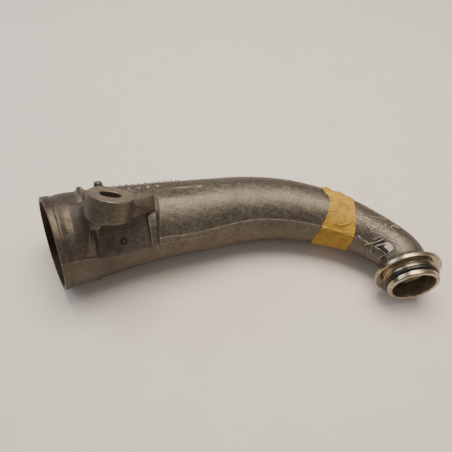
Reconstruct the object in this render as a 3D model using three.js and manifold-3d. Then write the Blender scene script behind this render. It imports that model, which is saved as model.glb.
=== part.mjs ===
// A cast aluminium pipe elbow with a turned, O-ring sealed spigot pressed into its small end, a slotted
// mounting lug on its large end, and two strips of tape still wrapped round the bend.
// Millimetres, +Z up. The elbow lies on a flat surface at z = 0, with the middle of its box over the origin.
import * as THREE from "three";
import { ConvexGeometry } from "three/addons/geometries/ConvexGeometry.js";
import { mergeVertices } from "three/addons/utils/BufferGeometryUtils.js";
import Module from "manifold-3d";

const wasm = await Module();
wasm.setup();

const { cos, sin, tan, PI, hypot, min, max, abs } = Math;
const rad = THREE.MathUtils.degToRad;

// ---- Driving dimensions ----------------------------------------------------------------------------

// Centreline of the casting, from its large end: each stretch's length and the radius it bends with.
const STRETCHES = [
  { length: 130, radius: 810 },
  { length: 53, radius: Infinity },
  { length: 121, radius: 200 },
  { length: 59, radius: 156 },
  { length: 27, radius: 38 },
  { length: 6.5, radius: Infinity }, // straight seat for the spigot's tail
];

// Outer radius of the pipe at stations along the centreline; a smooth curve runs through them.
const PIPE_RADII = [
  [0, 48.6],
  [35, 46.4],
  [100, 41.4],
  [180, 37.4],
  [250, 33.5],
  [308, 28.2],
  [350, 24.2],
  [396.5, 22.8],
];
const WALL = 4.4; // wall of the casting
const MOUTH_SLANT = 11; // degrees by which the large end's face leans from square
const MOUTH_BACK = 128; // angle round the pipe at which that face is cut back furthest
const MOUTH_OFFSET = -1.5; // where the face crosses the centreline
const SLANT_FADE = 30; // length over which the collar's lean dies out along the pipe
const COLLAR_LENGTH = 7.5; // raised band round the large end
const COLLAR_VALLEY = 0.9; // depth of the dip behind it
const COLLAR_FALL = 2; // length of the slope into the dip
const VALLEY_LENGTH = 10.5; // length of the rise out of it
const SEAT_STEP = 2; // length over which the duct narrows to the spigot's tail
const FLARE_LENGTH = 9; // the small end spreads a little under the flange
const FLARE_RISE = 2.2;

// Turned spigot, measured back from its nose face.
const NOSE_RADIUS = 25;
const NOSE_LENGTH = 5.4;
const GROOVE_LENGTH = 4.6;
const GROOVE_RADIUS = 22.6;
const NECK_RADIUS = 24.4;
const FLANGE_FRONT = 15.1;
const FLANGE_BACK = 19.6;
const FLANGE_RADIUS = 32.7;
const SPIGOT_BORE = 21;
const SPIGOT_BORE_DEPTH = 17;
const TAIL_LENGTH = 6; // the part pressed into the casting
const TAIL_RADIUS = 20.9;
const TAIL_BORE = 18.6;
const EDGE = 0.9; // chamfer on turned edges

const O_RING_SECTION = 1.8; // radius of the rubber section
const FIT = 0.3; // clearance kept between neighbouring pieces

// Mounting lug: where the middle of its machined face sits, in the frame of its station, and its axis there.
const LUG_STATION = 66.4;
const LUG_OUT = -22.4;
const LUG_UP = 75;
const LUG_AXIS = [0.33, 0.4, 0.855];
const LUG_RADIUS = 19.8;
const LUG_THICK = 22;
const SLOT_LENGTH = 18.8;
const SLOT_WIDTH = 14.2;
const BOLT_CLEARANCE = 12.5; // radius kept free under the lug for a bolt head
const BOLT_REACH = 40; // how far below the lug it is kept free
const LUG_AROUND = 40; // facets round the lug

// Ties between the lug and the pipe. Each is the hull of an arc of the lug and a foot on the pipe: the arc
// has its angles round the lug's axis, its inset from the edge and its two depths below the machined face;
// the foot has its stations, its angles round the pipe and how far it stands out of the pipe.
const TIES = {
  arm: { arc: [-70, 60], inset: 3, depths: [3, 20], stations: [94, 105], angles: [90, 114], rise: 0.4 },
  gusset: { arc: [130, 250], inset: 2, depths: [5, 21], stations: [36, 47], angles: [96, 146], rise: 0.4 },
  pedestal: { arc: [20, 160], inset: 3, depths: [6, 21], stations: [52, 90], angles: [72, 98], rise: 0 },
};

// Flat recess in the pipe's side under the lug.
const RECESS_FROM = 47;
const RECESS_TO = 95;
const RECESS_ANGLE = 138;
const RECESS_DEPTH = 4.2;
const RECESS_WALL = 3.4;
const RECESS_MARGIN = 4; // how much further the thinner wall runs inside

// Small cast features.
const FIN_STATION = 37;
const FIN_THICK = 4;
const FIN_HEIGHT = 5.5;
const FIN_PEAK = 62; // angle of its highest point, and how far it reaches to either side
const FIN_REACH = 33;
const PEG_STATION = 55.5;
const PEG_ANGLE = 56;
const PEG_RADIUS = 4.2;
const PEG_HEIGHT = 7.5;
const DOME_SHARE = 0.6; // share of a boss's radius or height that its round top takes
const DOTS = 10; // row of raised dots where a casting carries its marking
const DOT_FROM = 72;
const DOT_PITCH = 6.2;
const DOT_ANGLE = 51;
const DOT_RADIUS = 2.2;
const DOT_HEIGHT = 2;

// Tape round the bend: stations of its edges and thickness of the wound strip.
const PAPER = { from: 286, to: 321, skew: 3, thick: 0.6 };
const FILM = { from: 332, to: 374, skew: 6, thick: 0.4 };

// Resting pose: heading of the large end, and the small tilts that let the elbow lie on three points.
const REST_YAW = 21.9;
const REST_PITCH = -3.765;
const REST_ROLL = -1.937;

// Fineness of the meshes.
const AROUND = 40;
const LONGEST_STEP = 14; // along the pipe
const LARGEST_TURN = 6; // degrees of bend in one step
const TURNED_AROUND = 48;
const SECTION_AROUND = 12; // round the rubber ring's section
const SLOT_AROUND = 12; // round each end of the lug's slot
const PEG_AROUND = 16;
const DOT_AROUND = 8;
const TIE_ARC_STEPS = 6;
const TIE_FOOT_STEPS = 2;
const FIN_STEPS = 6;
const DUCT_FROM = 11; // station of the duct's first step
const PAST = 4; // how far a cutting solid runs past what it cuts

// ---- Centreline ------------------------------------------------------------------------------------

const CAST_LENGTH = STRETCHES.reduce((sum, stretch) => sum + stretch.length, 0);
const NOSE_STATION = CAST_LENGTH + FLANGE_BACK;

// The point, forward and outward directions of the centreline at a station; it bends in the XY plane.
function station(along) {
  let heading = 0;
  let left = along;
  const point = new THREE.Vector3();
  const forward = () => new THREE.Vector3(cos(heading), sin(heading), 0);
  const outward = () => new THREE.Vector3(-sin(heading), cos(heading), 0);
  for (const { length, radius } of STRETCHES) {
    const run = min(left, length);
    if (run <= 0) break;
    if (radius === Infinity) {
      point.addScaledVector(forward(), run);
    } else {
      point.addScaledVector(outward(), -radius);
      heading -= run / radius;
      point.addScaledVector(outward(), radius);
    }
    left -= run;
  }
  if (along < 0) left = along;
  if (left) point.addScaledVector(forward(), left);
  return { point, forward: forward(), outward: outward() };
}

// Carries a point from the straight pipe (x along it, y outward, z up) onto the bent one.
function carry(x, y, z) {
  const { point, outward } = station(x);
  return point.addScaledVector(outward, y).setZ(z);
}

// A point at a station, an angle round the pipe (0 outward, 90 up) and a distance from the centreline.
function around(along, angle, radius) {
  return carry(along, radius * cos(rad(angle)), radius * sin(rad(angle)));
}

// Bends a whole geometry that was made along a straight pipe.
function bend(geometry) {
  const places = geometry.attributes.position;
  for (let i = 0; i < places.count; i += 1) {
    const bent = carry(places.getX(i), places.getY(i), places.getZ(i));
    places.setXYZ(i, bent.x, bent.y, bent.z);
  }
  return geometry;
}

// Leans the large end of a geometry that was made along a straight pipe; the lean dies out along it.
function leanMouth(geometry) {
  const places = geometry.attributes.position;
  const slope = tan(rad(MOUTH_SLANT));
  for (let i = 0; i < places.count; i += 1) {
    const x = places.getX(i);
    const back = places.getY(i) * cos(rad(MOUTH_BACK)) + places.getZ(i) * sin(rad(MOUTH_BACK));
    const share = THREE.MathUtils.clamp(1 - x / SLANT_FADE, 0, 1);
    places.setX(i, x + (MOUTH_OFFSET + slope * back) * share);
  }
  return geometry;
}

const radiusCurve = new THREE.SplineCurve(PIPE_RADII.map(([s, r]) => new THREE.Vector2(s, r)));
const radiusSamples = radiusCurve.getPoints(PIPE_RADII.length * 24);

// Outer radius of the plain pipe at a station.
function pipeRadius(along) {
  const next = radiusSamples.findIndex((sample) => sample.x >= along);
  if (next < 0) return radiusSamples.at(-1).y;
  if (next === 0) return radiusSamples[0].y;
  const [a, b] = [radiusSamples[next - 1], radiusSamples[next]];
  return THREE.MathUtils.mapLinear(along, a.x, b.x, a.y, b.y);
}

// ---- Solids ----------------------------------------------------------------------------------------

// The closed solid of a geometry, ready to be joined or cut.
function solid(geometry) {
  const bare = new THREE.BufferGeometry();
  bare.setAttribute("position", geometry.attributes.position);
  if (geometry.index) bare.setIndex(geometry.index);
  const merged = mergeVertices(bare, 1e-4);
  return new wasm.Manifold(
    new wasm.Mesh({
      numProp: 3,
      vertProperties: new Float32Array(merged.attributes.position.array),
      triVerts: new Uint32Array(merged.index.array),
    }),
  );
}

// The geometry of a solid, with flat faces.
function geometryOf(body) {
  const mesh = body.getMesh();
  const geometry = new THREE.BufferGeometry();
  geometry.setAttribute("position", new THREE.BufferAttribute(new Float32Array(mesh.vertProperties), 3));
  geometry.setIndex(new THREE.BufferAttribute(new Uint32Array(mesh.triVerts), 1));
  const flat = geometry.toNonIndexed();
  flat.computeVertexNormals();
  return flat;
}

// Turns a profile of [station, radius] points round the centreline. The outer line comes first, running
// from the small end back to the large one, so that the faces point out.
function turned(profile, segments) {
  const points = profile.map(([along, radius]) => new THREE.Vector2(radius, along));
  const geometry = new THREE.LatheGeometry(points, segments);
  return geometry.rotateZ(-PI / 2);
}

// How far a step may go from a station before the pipe has turned too much for a straight facet.
function stepAt(along) {
  let end = 0;
  for (const { length, radius } of STRETCHES) {
    end += length;
    if (along < end) return min(LONGEST_STEP, radius * rad(LARGEST_TURN));
  }
  return LONGEST_STEP;
}

// Profile points [station, radius] from one station up to another, with closer steps where the pipe bends.
function run(from, to, radiusAt) {
  const points = [];
  for (let along = from; along < to - stepAt(along) / 2; along += stepAt(along)) {
    points.push([along, radiusAt(along)]);
  }
  return [...points, [to, radiusAt(to)]];
}

// A cylinder from a start point along a direction.
function rod(start, direction, length, radius, segments = 24) {
  const middle = start.clone().addScaledVector(direction, length / 2);
  const turn = new THREE.Quaternion().setFromUnitVectors(new THREE.Vector3(0, 1, 0), direction);
  const geometry = new THREE.CylinderGeometry(radius, radius, length, segments);
  return geometry.applyQuaternion(turn).translate(middle.x, middle.y, middle.z);
}

// ---- Casting ---------------------------------------------------------------------------------------

// Outline of the pipe: end collar, valley behind it, taper, and the flare at the small end.
function pipeOutline() {
  const flareStart = CAST_LENGTH - FLARE_LENGTH;
  const valley = COLLAR_LENGTH + COLLAR_FALL;
  return [
    [-PAST, 0],
    [-PAST, pipeRadius(0)],
    [COLLAR_LENGTH - COLLAR_FALL / 2, pipeRadius(COLLAR_LENGTH)],
    [valley, pipeRadius(valley) - COLLAR_VALLEY],
    ...run(valley + VALLEY_LENGTH, flareStart, pipeRadius),
    [CAST_LENGTH - FIT, pipeRadius(CAST_LENGTH) + FLARE_RISE],
    [CAST_LENGTH - FIT, 0],
  ];
}

// The way through the casting, run past both ends, with the seat for the spigot's tail.
function ductOutline() {
  const seat = CAST_LENGTH - TAIL_LENGTH - FIT;
  const duct = (along) => max(pipeRadius(along) - WALL, TAIL_BORE);
  return [
    [-2 * PAST, 0],
    [-2 * PAST, duct(0)],
    ...run(DUCT_FROM, seat - SEAT_STEP, duct),
    [seat, TAIL_BORE],
    [seat, TAIL_RADIUS + FIT],
    [CAST_LENGTH + PAST, TAIL_RADIUS + FIT],
    [CAST_LENGTH + PAST, 0],
  ];
}

// A block that lies beyond a flat on the pipe's side, between two stations; the flat is a depth below
// the pipe's surface and tapers with it.
function beyondFlat(from, to, depth) {
  const reach = 40;
  const steps = 4;
  const block = new THREE.BoxGeometry(to - from, reach, 2 * reach, steps, 1, 1);
  block.translate((from + to) / 2, reach / 2, 0);
  const places = block.attributes.position;
  for (let i = 0; i < places.count; i += 1) {
    places.setY(i, places.getY(i) + pipeRadius(places.getX(i)) - depth);
  }
  return solid(bend(block.rotateX(rad(RECESS_ANGLE))));
}

// Frame of the lug: middle of its machined face, its axis, and two directions in the face.
function lugFrame() {
  const { forward, outward } = station(LUG_STATION);
  const up = new THREE.Vector3(0, 0, 1);
  const [ahead, out, rise] = LUG_AXIS;
  const axis = up.multiplyScalar(rise).addScaledVector(forward, ahead).addScaledVector(outward, out);
  axis.normalize();
  const long = forward.clone().addScaledVector(axis, -forward.dot(axis)).normalize();
  const across = new THREE.Vector3().crossVectors(axis, long);
  return { centre: carry(LUG_STATION, LUG_OUT, LUG_UP), axis, long, across };
}

const lug = lugFrame();

// A point of the lug: an angle round its axis, a radius, and a depth below the machined face.
function lugPoint(angle, radius, depth) {
  return lug.centre
    .clone()
    .addScaledVector(lug.long, radius * cos(rad(angle)))
    .addScaledVector(lug.across, radius * sin(rad(angle)))
    .addScaledVector(lug.axis, -depth);
}

// Evenly spaced values from one end of a range to the other.
function spread([from, to], steps) {
  return Array.from({ length: steps + 1 }, (_, i) => from + ((to - from) * i) / steps);
}

// A tie between the lug and the pipe: its foot starts inside the pipe's wall.
function tieSolid({ arc, inset, depths, stations, angles, rise }) {
  const radius = LUG_RADIUS - inset;
  const onLug = spread(arc, TIE_ARC_STEPS).flatMap((angle) =>
    depths.map((depth) => lugPoint(angle, radius, depth)),
  );
  const onPipe = stations.flatMap((along) =>
    spread(angles, TIE_FOOT_STEPS).flatMap((angle) => [
      around(along, angle, pipeRadius(along) - WALL / 2),
      around(along, angle, pipeRadius(along) + rise),
    ]),
  );
  return solid(new ConvexGeometry([...onLug, ...onPipe]));
}

// The slot, as a prism with round ends that runs right through the lug and on past it.
function slotSolid() {
  const length = LUG_THICK + BOLT_REACH;
  const half = (SLOT_LENGTH - SLOT_WIDTH) / 2;
  const outline = new THREE.Shape();
  outline.absarc(half, 0, SLOT_WIDTH / 2, -PI / 2, PI / 2, false);
  outline.absarc(-half, 0, SLOT_WIDTH / 2, PI / 2, (3 * PI) / 2, false);
  const prism = new THREE.ExtrudeGeometry(outline, {
    depth: length,
    bevelEnabled: false,
    curveSegments: SLOT_AROUND,
  });
  prism.translate(0, 0, PAST - length);
  prism.applyMatrix4(new THREE.Matrix4().makeBasis(lug.long, lug.across, lug.axis));
  return solid(prism.translate(lug.centre.x, lug.centre.y, lug.centre.z));
}

// Lug with its ties: an arm ahead, a gusset behind and a pedestal on top of the pipe.
function lugSolid() {
  const foot = lugPoint(0, 0, LUG_THICK);
  const boltRoom = rod(lugPoint(0, 0, LUG_THICK + BOLT_REACH), lug.axis, BOLT_REACH, BOLT_CLEARANCE);
  return solid(rod(foot, lug.axis, LUG_THICK, LUG_RADIUS, LUG_AROUND))
    .add(tieSolid(TIES.arm))
    .add(tieSolid(TIES.gusset))
    .add(tieSolid(TIES.pedestal))
    .subtract(solid(boltRoom))
    .subtract(slotSolid());
}

// Fin across the top of the pipe: a thin crescent.
function finSolid() {
  const inner = pipeRadius(FIN_STATION) - WALL / 2;
  const outer = pipeRadius(FIN_STATION);
  const rise = (angle) => FIN_HEIGHT * max(0, 1 - abs(angle - FIN_PEAK) / FIN_REACH);
  const angles = spread([FIN_PEAK - FIN_REACH, FIN_PEAK + FIN_REACH], FIN_STEPS);
  const at = (angle, r) => new THREE.Vector2(r * cos(rad(angle)), r * sin(rad(angle)));
  const rim = angles.map((angle) => at(angle, outer + rise(angle)));
  const root = angles.map((angle) => at(angle, inner)).reverse();
  const fin = new THREE.ExtrudeGeometry(new THREE.Shape([...rim, ...root]), {
    depth: FIN_THICK,
    bevelEnabled: false,
  });
  const across = new THREE.Matrix4().makeBasis(
    new THREE.Vector3(0, 1, 0),
    new THREE.Vector3(0, 0, 1),
    new THREE.Vector3(1, 0, 0),
  );
  return solid(bend(fin.applyMatrix4(across).translate(FIN_STATION - FIN_THICK / 2, 0, 0)));
}

// A round boss standing on the pipe, with a domed top.
function peg(along, angle, radius, height, segments) {
  const sunk = WALL / 2;
  const dome = min(radius, height) * DOME_SHARE;
  const points = [new THREE.Vector2(0, -sunk), new THREE.Vector2(radius, -sunk)];
  const rounds = 3;
  for (let i = 0; i <= rounds; i += 1) {
    const turn = ((PI / 2) * i) / rounds;
    const across = i === rounds ? 0 : radius - dome + dome * cos(turn);
    points.push(new THREE.Vector2(across, height - dome + dome * sin(turn)));
  }
  const direction = around(along, angle, 1).sub(around(along, angle, 0)).normalize();
  const base = around(along, angle, pipeRadius(along));
  const turn = new THREE.Quaternion().setFromUnitVectors(new THREE.Vector3(0, 1, 0), direction);
  const geometry = new THREE.LatheGeometry(points, segments).applyQuaternion(turn);
  return solid(geometry.translate(base.x, base.y, base.z));
}

// Plane of the large end's face: its normal into the casting, and its distance from the origin.
function mouthPlane() {
  const slope = tan(rad(MOUTH_SLANT));
  const leaning = new THREE.Vector3(1, -slope * cos(rad(MOUTH_BACK)), -slope * sin(rad(MOUTH_BACK)));
  const inward = leaning.normalize();
  return [inward.toArray(), MOUTH_OFFSET * inward.x];
}

// The casting: pipe with its recess, lug, fin, peg and dots, then hollowed by the duct.
function casting() {
  let body = solid(bend(leanMouth(turned(pipeOutline(), AROUND))));
  body = body.subtract(beyondFlat(RECESS_FROM, RECESS_TO, RECESS_DEPTH));
  body = body.add(lugSolid()).add(finSolid());
  body = body.add(peg(PEG_STATION, PEG_ANGLE, PEG_RADIUS, PEG_HEIGHT, PEG_AROUND));
  for (let i = 0; i < DOTS; i += 1) {
    const along = DOT_FROM + DOT_PITCH * i;
    body = body.add(peg(along, DOT_ANGLE, DOT_RADIUS, DOT_HEIGHT, DOT_AROUND));
  }
  const [from, to] = [RECESS_FROM - RECESS_MARGIN, RECESS_TO + RECESS_MARGIN];
  const behindFlat = beyondFlat(from, to, RECESS_DEPTH + RECESS_WALL);
  const duct = solid(bend(leanMouth(turned(ductOutline(), AROUND)))).subtract(behindFlat);
  return body.subtract(duct).trimByPlane(...mouthPlane());
}

// ---- Spigot, ring and tape -------------------------------------------------------------------------

// Section of the turned spigot, as a closed ring outline in [station, radius].
function spigotOutline() {
  const back = (distance) => NOSE_STATION - distance;
  const grooveEnd = NOSE_LENGTH + GROOVE_LENGTH;
  return [
    [back(0), SPIGOT_BORE + EDGE / 2],
    [back(SPIGOT_BORE_DEPTH / 2), SPIGOT_BORE],
    [back(SPIGOT_BORE_DEPTH), SPIGOT_BORE - EDGE / 2],
    [back(FLANGE_BACK), TAIL_BORE],
    [back(FLANGE_BACK + TAIL_LENGTH), TAIL_BORE],
    [back(FLANGE_BACK + TAIL_LENGTH), TAIL_RADIUS],
    [back(FLANGE_BACK), TAIL_RADIUS],
    [back(FLANGE_BACK), FLANGE_RADIUS - EDGE],
    [back(FLANGE_BACK - EDGE), FLANGE_RADIUS],
    [back(FLANGE_FRONT + EDGE), FLANGE_RADIUS],
    [back(FLANGE_FRONT), FLANGE_RADIUS - EDGE],
    [back(FLANGE_FRONT), NECK_RADIUS + EDGE],
    [back(FLANGE_FRONT - EDGE), NECK_RADIUS],
    [back(grooveEnd), NECK_RADIUS],
    [back(grooveEnd), GROOVE_RADIUS],
    [back(NOSE_LENGTH), GROOVE_RADIUS],
    [back(NOSE_LENGTH), NOSE_RADIUS],
    [back(EDGE), NOSE_RADIUS],
    [back(0), NOSE_RADIUS - EDGE],
  ];
}

// A closed outline turned round the centreline.
function turnedRing(outline, segments) {
  return bend(turned([...outline, outline[0]], segments));
}

// The rubber ring, just clear of the floor of its groove.
function oRing() {
  const middle = NOSE_STATION - NOSE_LENGTH - GROOVE_LENGTH / 2;
  const across = GROOVE_RADIUS + FIT + O_RING_SECTION;
  const ring = new THREE.TorusGeometry(across, O_RING_SECTION, SECTION_AROUND, TURNED_AROUND);
  return bend(ring.rotateY(PI / 2).translate(middle, 0, 0));
}

// A strip of tape wound once round the pipe; skew moves its edges along the pipe on one side.
function tape({ from, to, skew, thick }) {
  const inner = (along) => pipeRadius(along) + FIT;
  const outer = (along) => inner(along) + thick;
  const outline = [...run(from, to, inner).reverse(), ...run(from, to, outer)];
  const ring = turned([...outline, outline[0]], AROUND);
  const places = ring.attributes.position;
  for (let i = 0; i < places.count; i += 1) {
    const [x, y, z] = [places.getX(i), places.getY(i), places.getZ(i)];
    const shift = (-skew * y) / hypot(y, z);
    const slip = outer(x + shift) - outer(x);
    const scale = 1 + slip / hypot(y, z);
    places.setXYZ(i, x + shift, y * scale, z * scale);
  }
  return bend(ring);
}

// ---- Assembly --------------------------------------------------------------------------------------

// A named piece with its own material.
function piece(name, geometry, color, roughness, metalness) {
  const mesh = new THREE.Mesh(geometry, new THREE.MeshStandardMaterial({ color, roughness, metalness }));
  mesh.name = name;
  return mesh;
}

const elbow = new THREE.Group();
elbow.add(
  piece("pipe_casting", geometryOf(casting()), "#7d776c", 0.55, 0.85),
  piece("spigot_sleeve", turnedRing(spigotOutline(), TURNED_AROUND), "#b9b4a8", 0.25, 1),
  piece("o_ring", oRing(), "#141414", 0.5, 0),
  piece("paper_tape", tape(PAPER), "#b48c4a", 0.8, 0),
  piece("film_tape", tape(FILM), "#a9a294", 0.15, 0),
);
elbow.rotation.set(rad(REST_ROLL), rad(-REST_PITCH), rad(REST_YAW), "ZYX");

// The elbow stands on z = 0 with the middle of its box over the origin.
elbow.updateMatrixWorld(true);
const box = new THREE.Box3().setFromObject(elbow, true);
const middle = box.getCenter(new THREE.Vector3());
elbow.position.set(-middle.x, -middle.y, -box.min.z);

export default elbow;
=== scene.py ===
"""Dresses a cast aluminium pipe elbow: its casting with the lug, the turned spigot and its rubber ring, a
strip of paper tape and a strip of clear film tape, lying on a pale table.

Shapes are worked out in millimetres in the pipe's own frame: its centreline starts at the middle of the
large end, sets off along +X and bends in the XY plane, with +Y on the outside of the bend. A place on the
pipe is a station along the centreline, an angle round it in degrees (0 outside the bend, 90 up, 180
inside) and a radius.
"""
import logging
import math
from collections.abc import Callable, Sequence
from dataclasses import dataclass, field
from enum import Enum

import bmesh
import bpy
import numpy as np
from mathutils import Matrix, Vector


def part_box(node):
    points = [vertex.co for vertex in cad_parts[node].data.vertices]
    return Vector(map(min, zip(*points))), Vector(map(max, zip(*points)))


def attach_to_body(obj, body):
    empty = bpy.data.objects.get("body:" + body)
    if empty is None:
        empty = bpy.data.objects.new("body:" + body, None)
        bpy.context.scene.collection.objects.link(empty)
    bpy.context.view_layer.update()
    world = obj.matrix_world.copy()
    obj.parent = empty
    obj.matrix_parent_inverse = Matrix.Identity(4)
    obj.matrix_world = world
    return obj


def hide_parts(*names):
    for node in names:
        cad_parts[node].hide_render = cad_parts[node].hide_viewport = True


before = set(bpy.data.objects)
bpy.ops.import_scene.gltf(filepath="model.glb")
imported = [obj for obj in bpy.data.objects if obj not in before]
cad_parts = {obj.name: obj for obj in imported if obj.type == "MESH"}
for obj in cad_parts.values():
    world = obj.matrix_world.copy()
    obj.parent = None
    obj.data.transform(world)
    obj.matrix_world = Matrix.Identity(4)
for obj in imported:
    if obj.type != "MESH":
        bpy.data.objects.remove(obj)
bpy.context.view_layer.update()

MM = 0.001
LOG = logging.getLogger("elbow")
Array = np.ndarray


# ---- Plain functions of numbers ------------------------------------------------------------------------


def ramp(value: Array, start: float | Array, end: float | Array) -> Array:
    """Rises smoothly from 0 at start to 1 at end, as 3t^2 - 2t^3.

    Args:
        value: Where to look.
        start: Where the rise begins.
        end: Where it is over; less than start for a fall.

    Returns:
        The height of the ramp, from 0 to 1.
    """
    t = np.clip((value - start) / (end - start), 0.0, 1.0)
    return t * t * (3.0 - 2.0 * t)


def bell(value: Array, middle: float | Array, half: float | Array) -> Array:
    """A round hump of height 1, as the squared cosine of a quarter turn per half width.

    Args:
        value: Where to look.
        middle: Where the hump stands.
        half: Half its width; it is 0 beyond.

    Returns:
        The height of the hump, from 0 to 1.
    """
    t = np.clip(np.abs(value - middle) / half, 0.0, 1.0)
    return np.cos(0.5 * np.pi * t) ** 2


def lesser(a: Array, b: Array, width: float | Array) -> Array:
    """The lesser of two fields with their meeting rounded: min(a, b) less a quarter of h^2 times the
    width, where h falls from 1 where they are equal to 0 where they differ by the width.

    Args:
        a: One field.
        b: The other field.
        width: Difference over which the meeting is rounded.

    Returns:
        The rounded lesser field.
    """
    h = np.clip(1.0 - np.abs(a - b) / width, 0.0, 1.0)
    return np.minimum(a, b) - 0.25 * width * h * h


def greater(a: Array, b: Array, width: float | Array) -> Array:
    """The greater of two fields with their meeting rounded, as the mirror image of lesser()."""
    return -lesser(-a, -b, width)


def turned_from(angle: Array, middle: float) -> Array:
    """How far an angle is turned from another one, in degrees from -180 to 180."""
    return (angle - middle + 180.0) % 360.0 - 180.0


def curve_through(points: Sequence[tuple[float, float]], value: Array) -> Array:
    """Height of a smooth curve through points, as three's uniform Catmull-Rom spline: each stretch is a
    cubic whose end slopes are half the step between its neighbours.

    Args:
        points: Points (x, y) with rising x.
        value: The x values to look at.

    Returns:
        The curve's y at each of them.
    """
    p = np.asarray(points, float)
    p = np.vstack([p[:1], p, p[-1:]])
    t = np.linspace(0.0, 1.0, 24, endpoint=False)[None, :, None]
    before, here, after, last = (p[i : len(p) - 3 + i, None, :] for i in range(4))
    slope_in, slope_out = 0.5 * (after - before), 0.5 * (last - here)
    cubic = (2 * here - 2 * after + slope_in + slope_out) * t**3
    square = (-3 * here + 3 * after - 2 * slope_in - slope_out) * t**2
    line = (cubic + square + slope_in * t + here).reshape(-1, 2)
    line = np.vstack([line, p[-1:]])
    return np.interp(value, line[:, 0], line[:, 1])


def waves(points: Array, length: float, seed: int, count: int = 12) -> Array:
    """Gentle unevenness: the scaled sum of seeded sine waves in random directions, with lengths from two
    thirds to one and a half times the given one.

    Args:
        points: Points (..., 3) in millimetres.
        length: Typical wave length, in millimetres.
        seed: Seed of the directions, lengths and phases.
        count: How many waves are summed.

    Returns:
        Heights of about -1 to 1.
    """
    dice = np.random.default_rng(seed)
    heading = dice.normal(size=(count, 3))
    wave = length * dice.uniform(0.67, 1.5, (count, 1))
    heading *= 2.0 * np.pi / (wave * np.linalg.norm(heading, axis=1)[:, None])
    phase = dice.uniform(0.0, 2.0 * np.pi, count)
    total = sum(np.sin(points @ heading[i] + phase[i]) for i in range(count))
    return total * math.sqrt(2.0 / count) * 0.7


# ---- The pipe's frame ----------------------------------------------------------------------------------


@dataclass(frozen=True)
class Centreline:
    """A plane line of arcs and straights that the pipe follows, in millimetres.

    Attributes:
        stretches: Length and bend radius of each stretch; a straight one has an infinite radius.
    """

    stretches: tuple[tuple[float, float], ...] = (
        (130.0, 810.0),
        (53.0, math.inf),
        (121.0, 200.0),
        (59.0, 156.0),
        (27.0, 38.0),
        (6.5, math.inf),
    )

    @property
    def length(self) -> float:
        """Length of the whole line."""
        return sum(length for length, _ in self.stretches)

    def at(self, along: Array) -> tuple[Array, Array]:
        """Points and headings of the line. A stretch of length l and radius R turns the heading by l / R
        and adds R (sin h - sin h', cos h' - cos h) to the point; a straight adds l (cos h, sin h).

        Args:
            along: Stations.

        Returns:
            Points (..., 2) and headings (...) in radians.
        """
        along = np.asarray(along, float)
        heading = np.zeros(along.shape)
        x, y = np.minimum(along, 0.0), np.zeros(along.shape)
        start = 0.0
        for index, (length, radius) in enumerate(self.stretches):
            last = index == len(self.stretches) - 1
            run = np.clip(along - start, 0.0, math.inf if last else length)
            if math.isinf(radius):
                x, y = x + run * np.cos(heading), y + run * np.sin(heading)
            else:
                onward = heading - run / radius
                x = x + radius * (np.sin(heading) - np.sin(onward))
                y = y + radius * (np.cos(onward) - np.cos(heading))
                heading = onward
            start += length
        return np.stack([x, y], -1), heading

    def carry(self, along: Array, outward: Array, up: Array) -> Array:
        """Points (..., 3) at a station, moved outward from the bend and up."""
        along, outward, up = np.broadcast_arrays(along, outward, up)
        point, heading = self.at(along)
        x = point[..., 0] - outward * np.sin(heading)
        y = point[..., 1] + outward * np.cos(heading)
        return np.stack([x, y, up], -1)

    def around(self, along: Array, angle: Array, radius: Array) -> Array:
        """Points (..., 3) at a station, an angle in degrees and a distance from the line."""
        turn = np.radians(angle)
        return self.carry(along, radius * np.cos(turn), radius * np.sin(turn))

    def unroll(self, points: Array) -> tuple[Array, Array, Array]:
        """The way back from points to stations: each point belongs to the stretch whose span it stands
        beside, and of several to the nearest one.

        Args:
            points: Points (N, 3) in the pipe's frame.

        Returns:
            Station, angle in degrees and radius of each point.
        """
        x, y = points[:, 0], points[:, 1]
        along, outward = np.zeros(len(points)), np.full(len(points), 1e6)
        start = 0.0
        for index, (length, radius) in enumerate(self.stretches):
            begin, heading = self.at(np.array(start))
            forward = np.array([math.cos(heading), math.sin(heading)])
            side = np.array([-forward[1], forward[0]])
            ahead = (x - begin[0]) * forward[0] + (y - begin[1]) * forward[1]
            beside = (x - begin[0]) * side[0] + (y - begin[1]) * side[1]
            if math.isinf(radius):
                run, off = ahead, beside
            else:
                run = radius * np.arctan2(ahead, beside + radius)
                off = np.hypot(ahead, beside + radius) - radius
            inside = (run >= 0.0) | (index == 0)
            inside &= (run <= length) | (index == len(self.stretches) - 1)
            nearer = inside & (np.abs(off) < np.abs(outward))
            along, outward = np.where(nearer, start + run, along), np.where(nearer, off, outward)
            start += length
        return along, np.degrees(np.arctan2(points[:, 2], outward)), np.hypot(points[:, 2], outward)


def straightened(along: Array, angle: Array, radius: Array) -> Array:
    """Points (..., 3) of the pipe as if its centreline were straight, for patterns that follow its skin."""
    turn = np.radians(angle)
    return np.stack(np.broadcast_arrays(along, radius * np.cos(turn), radius * np.sin(turn)), -1)


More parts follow.
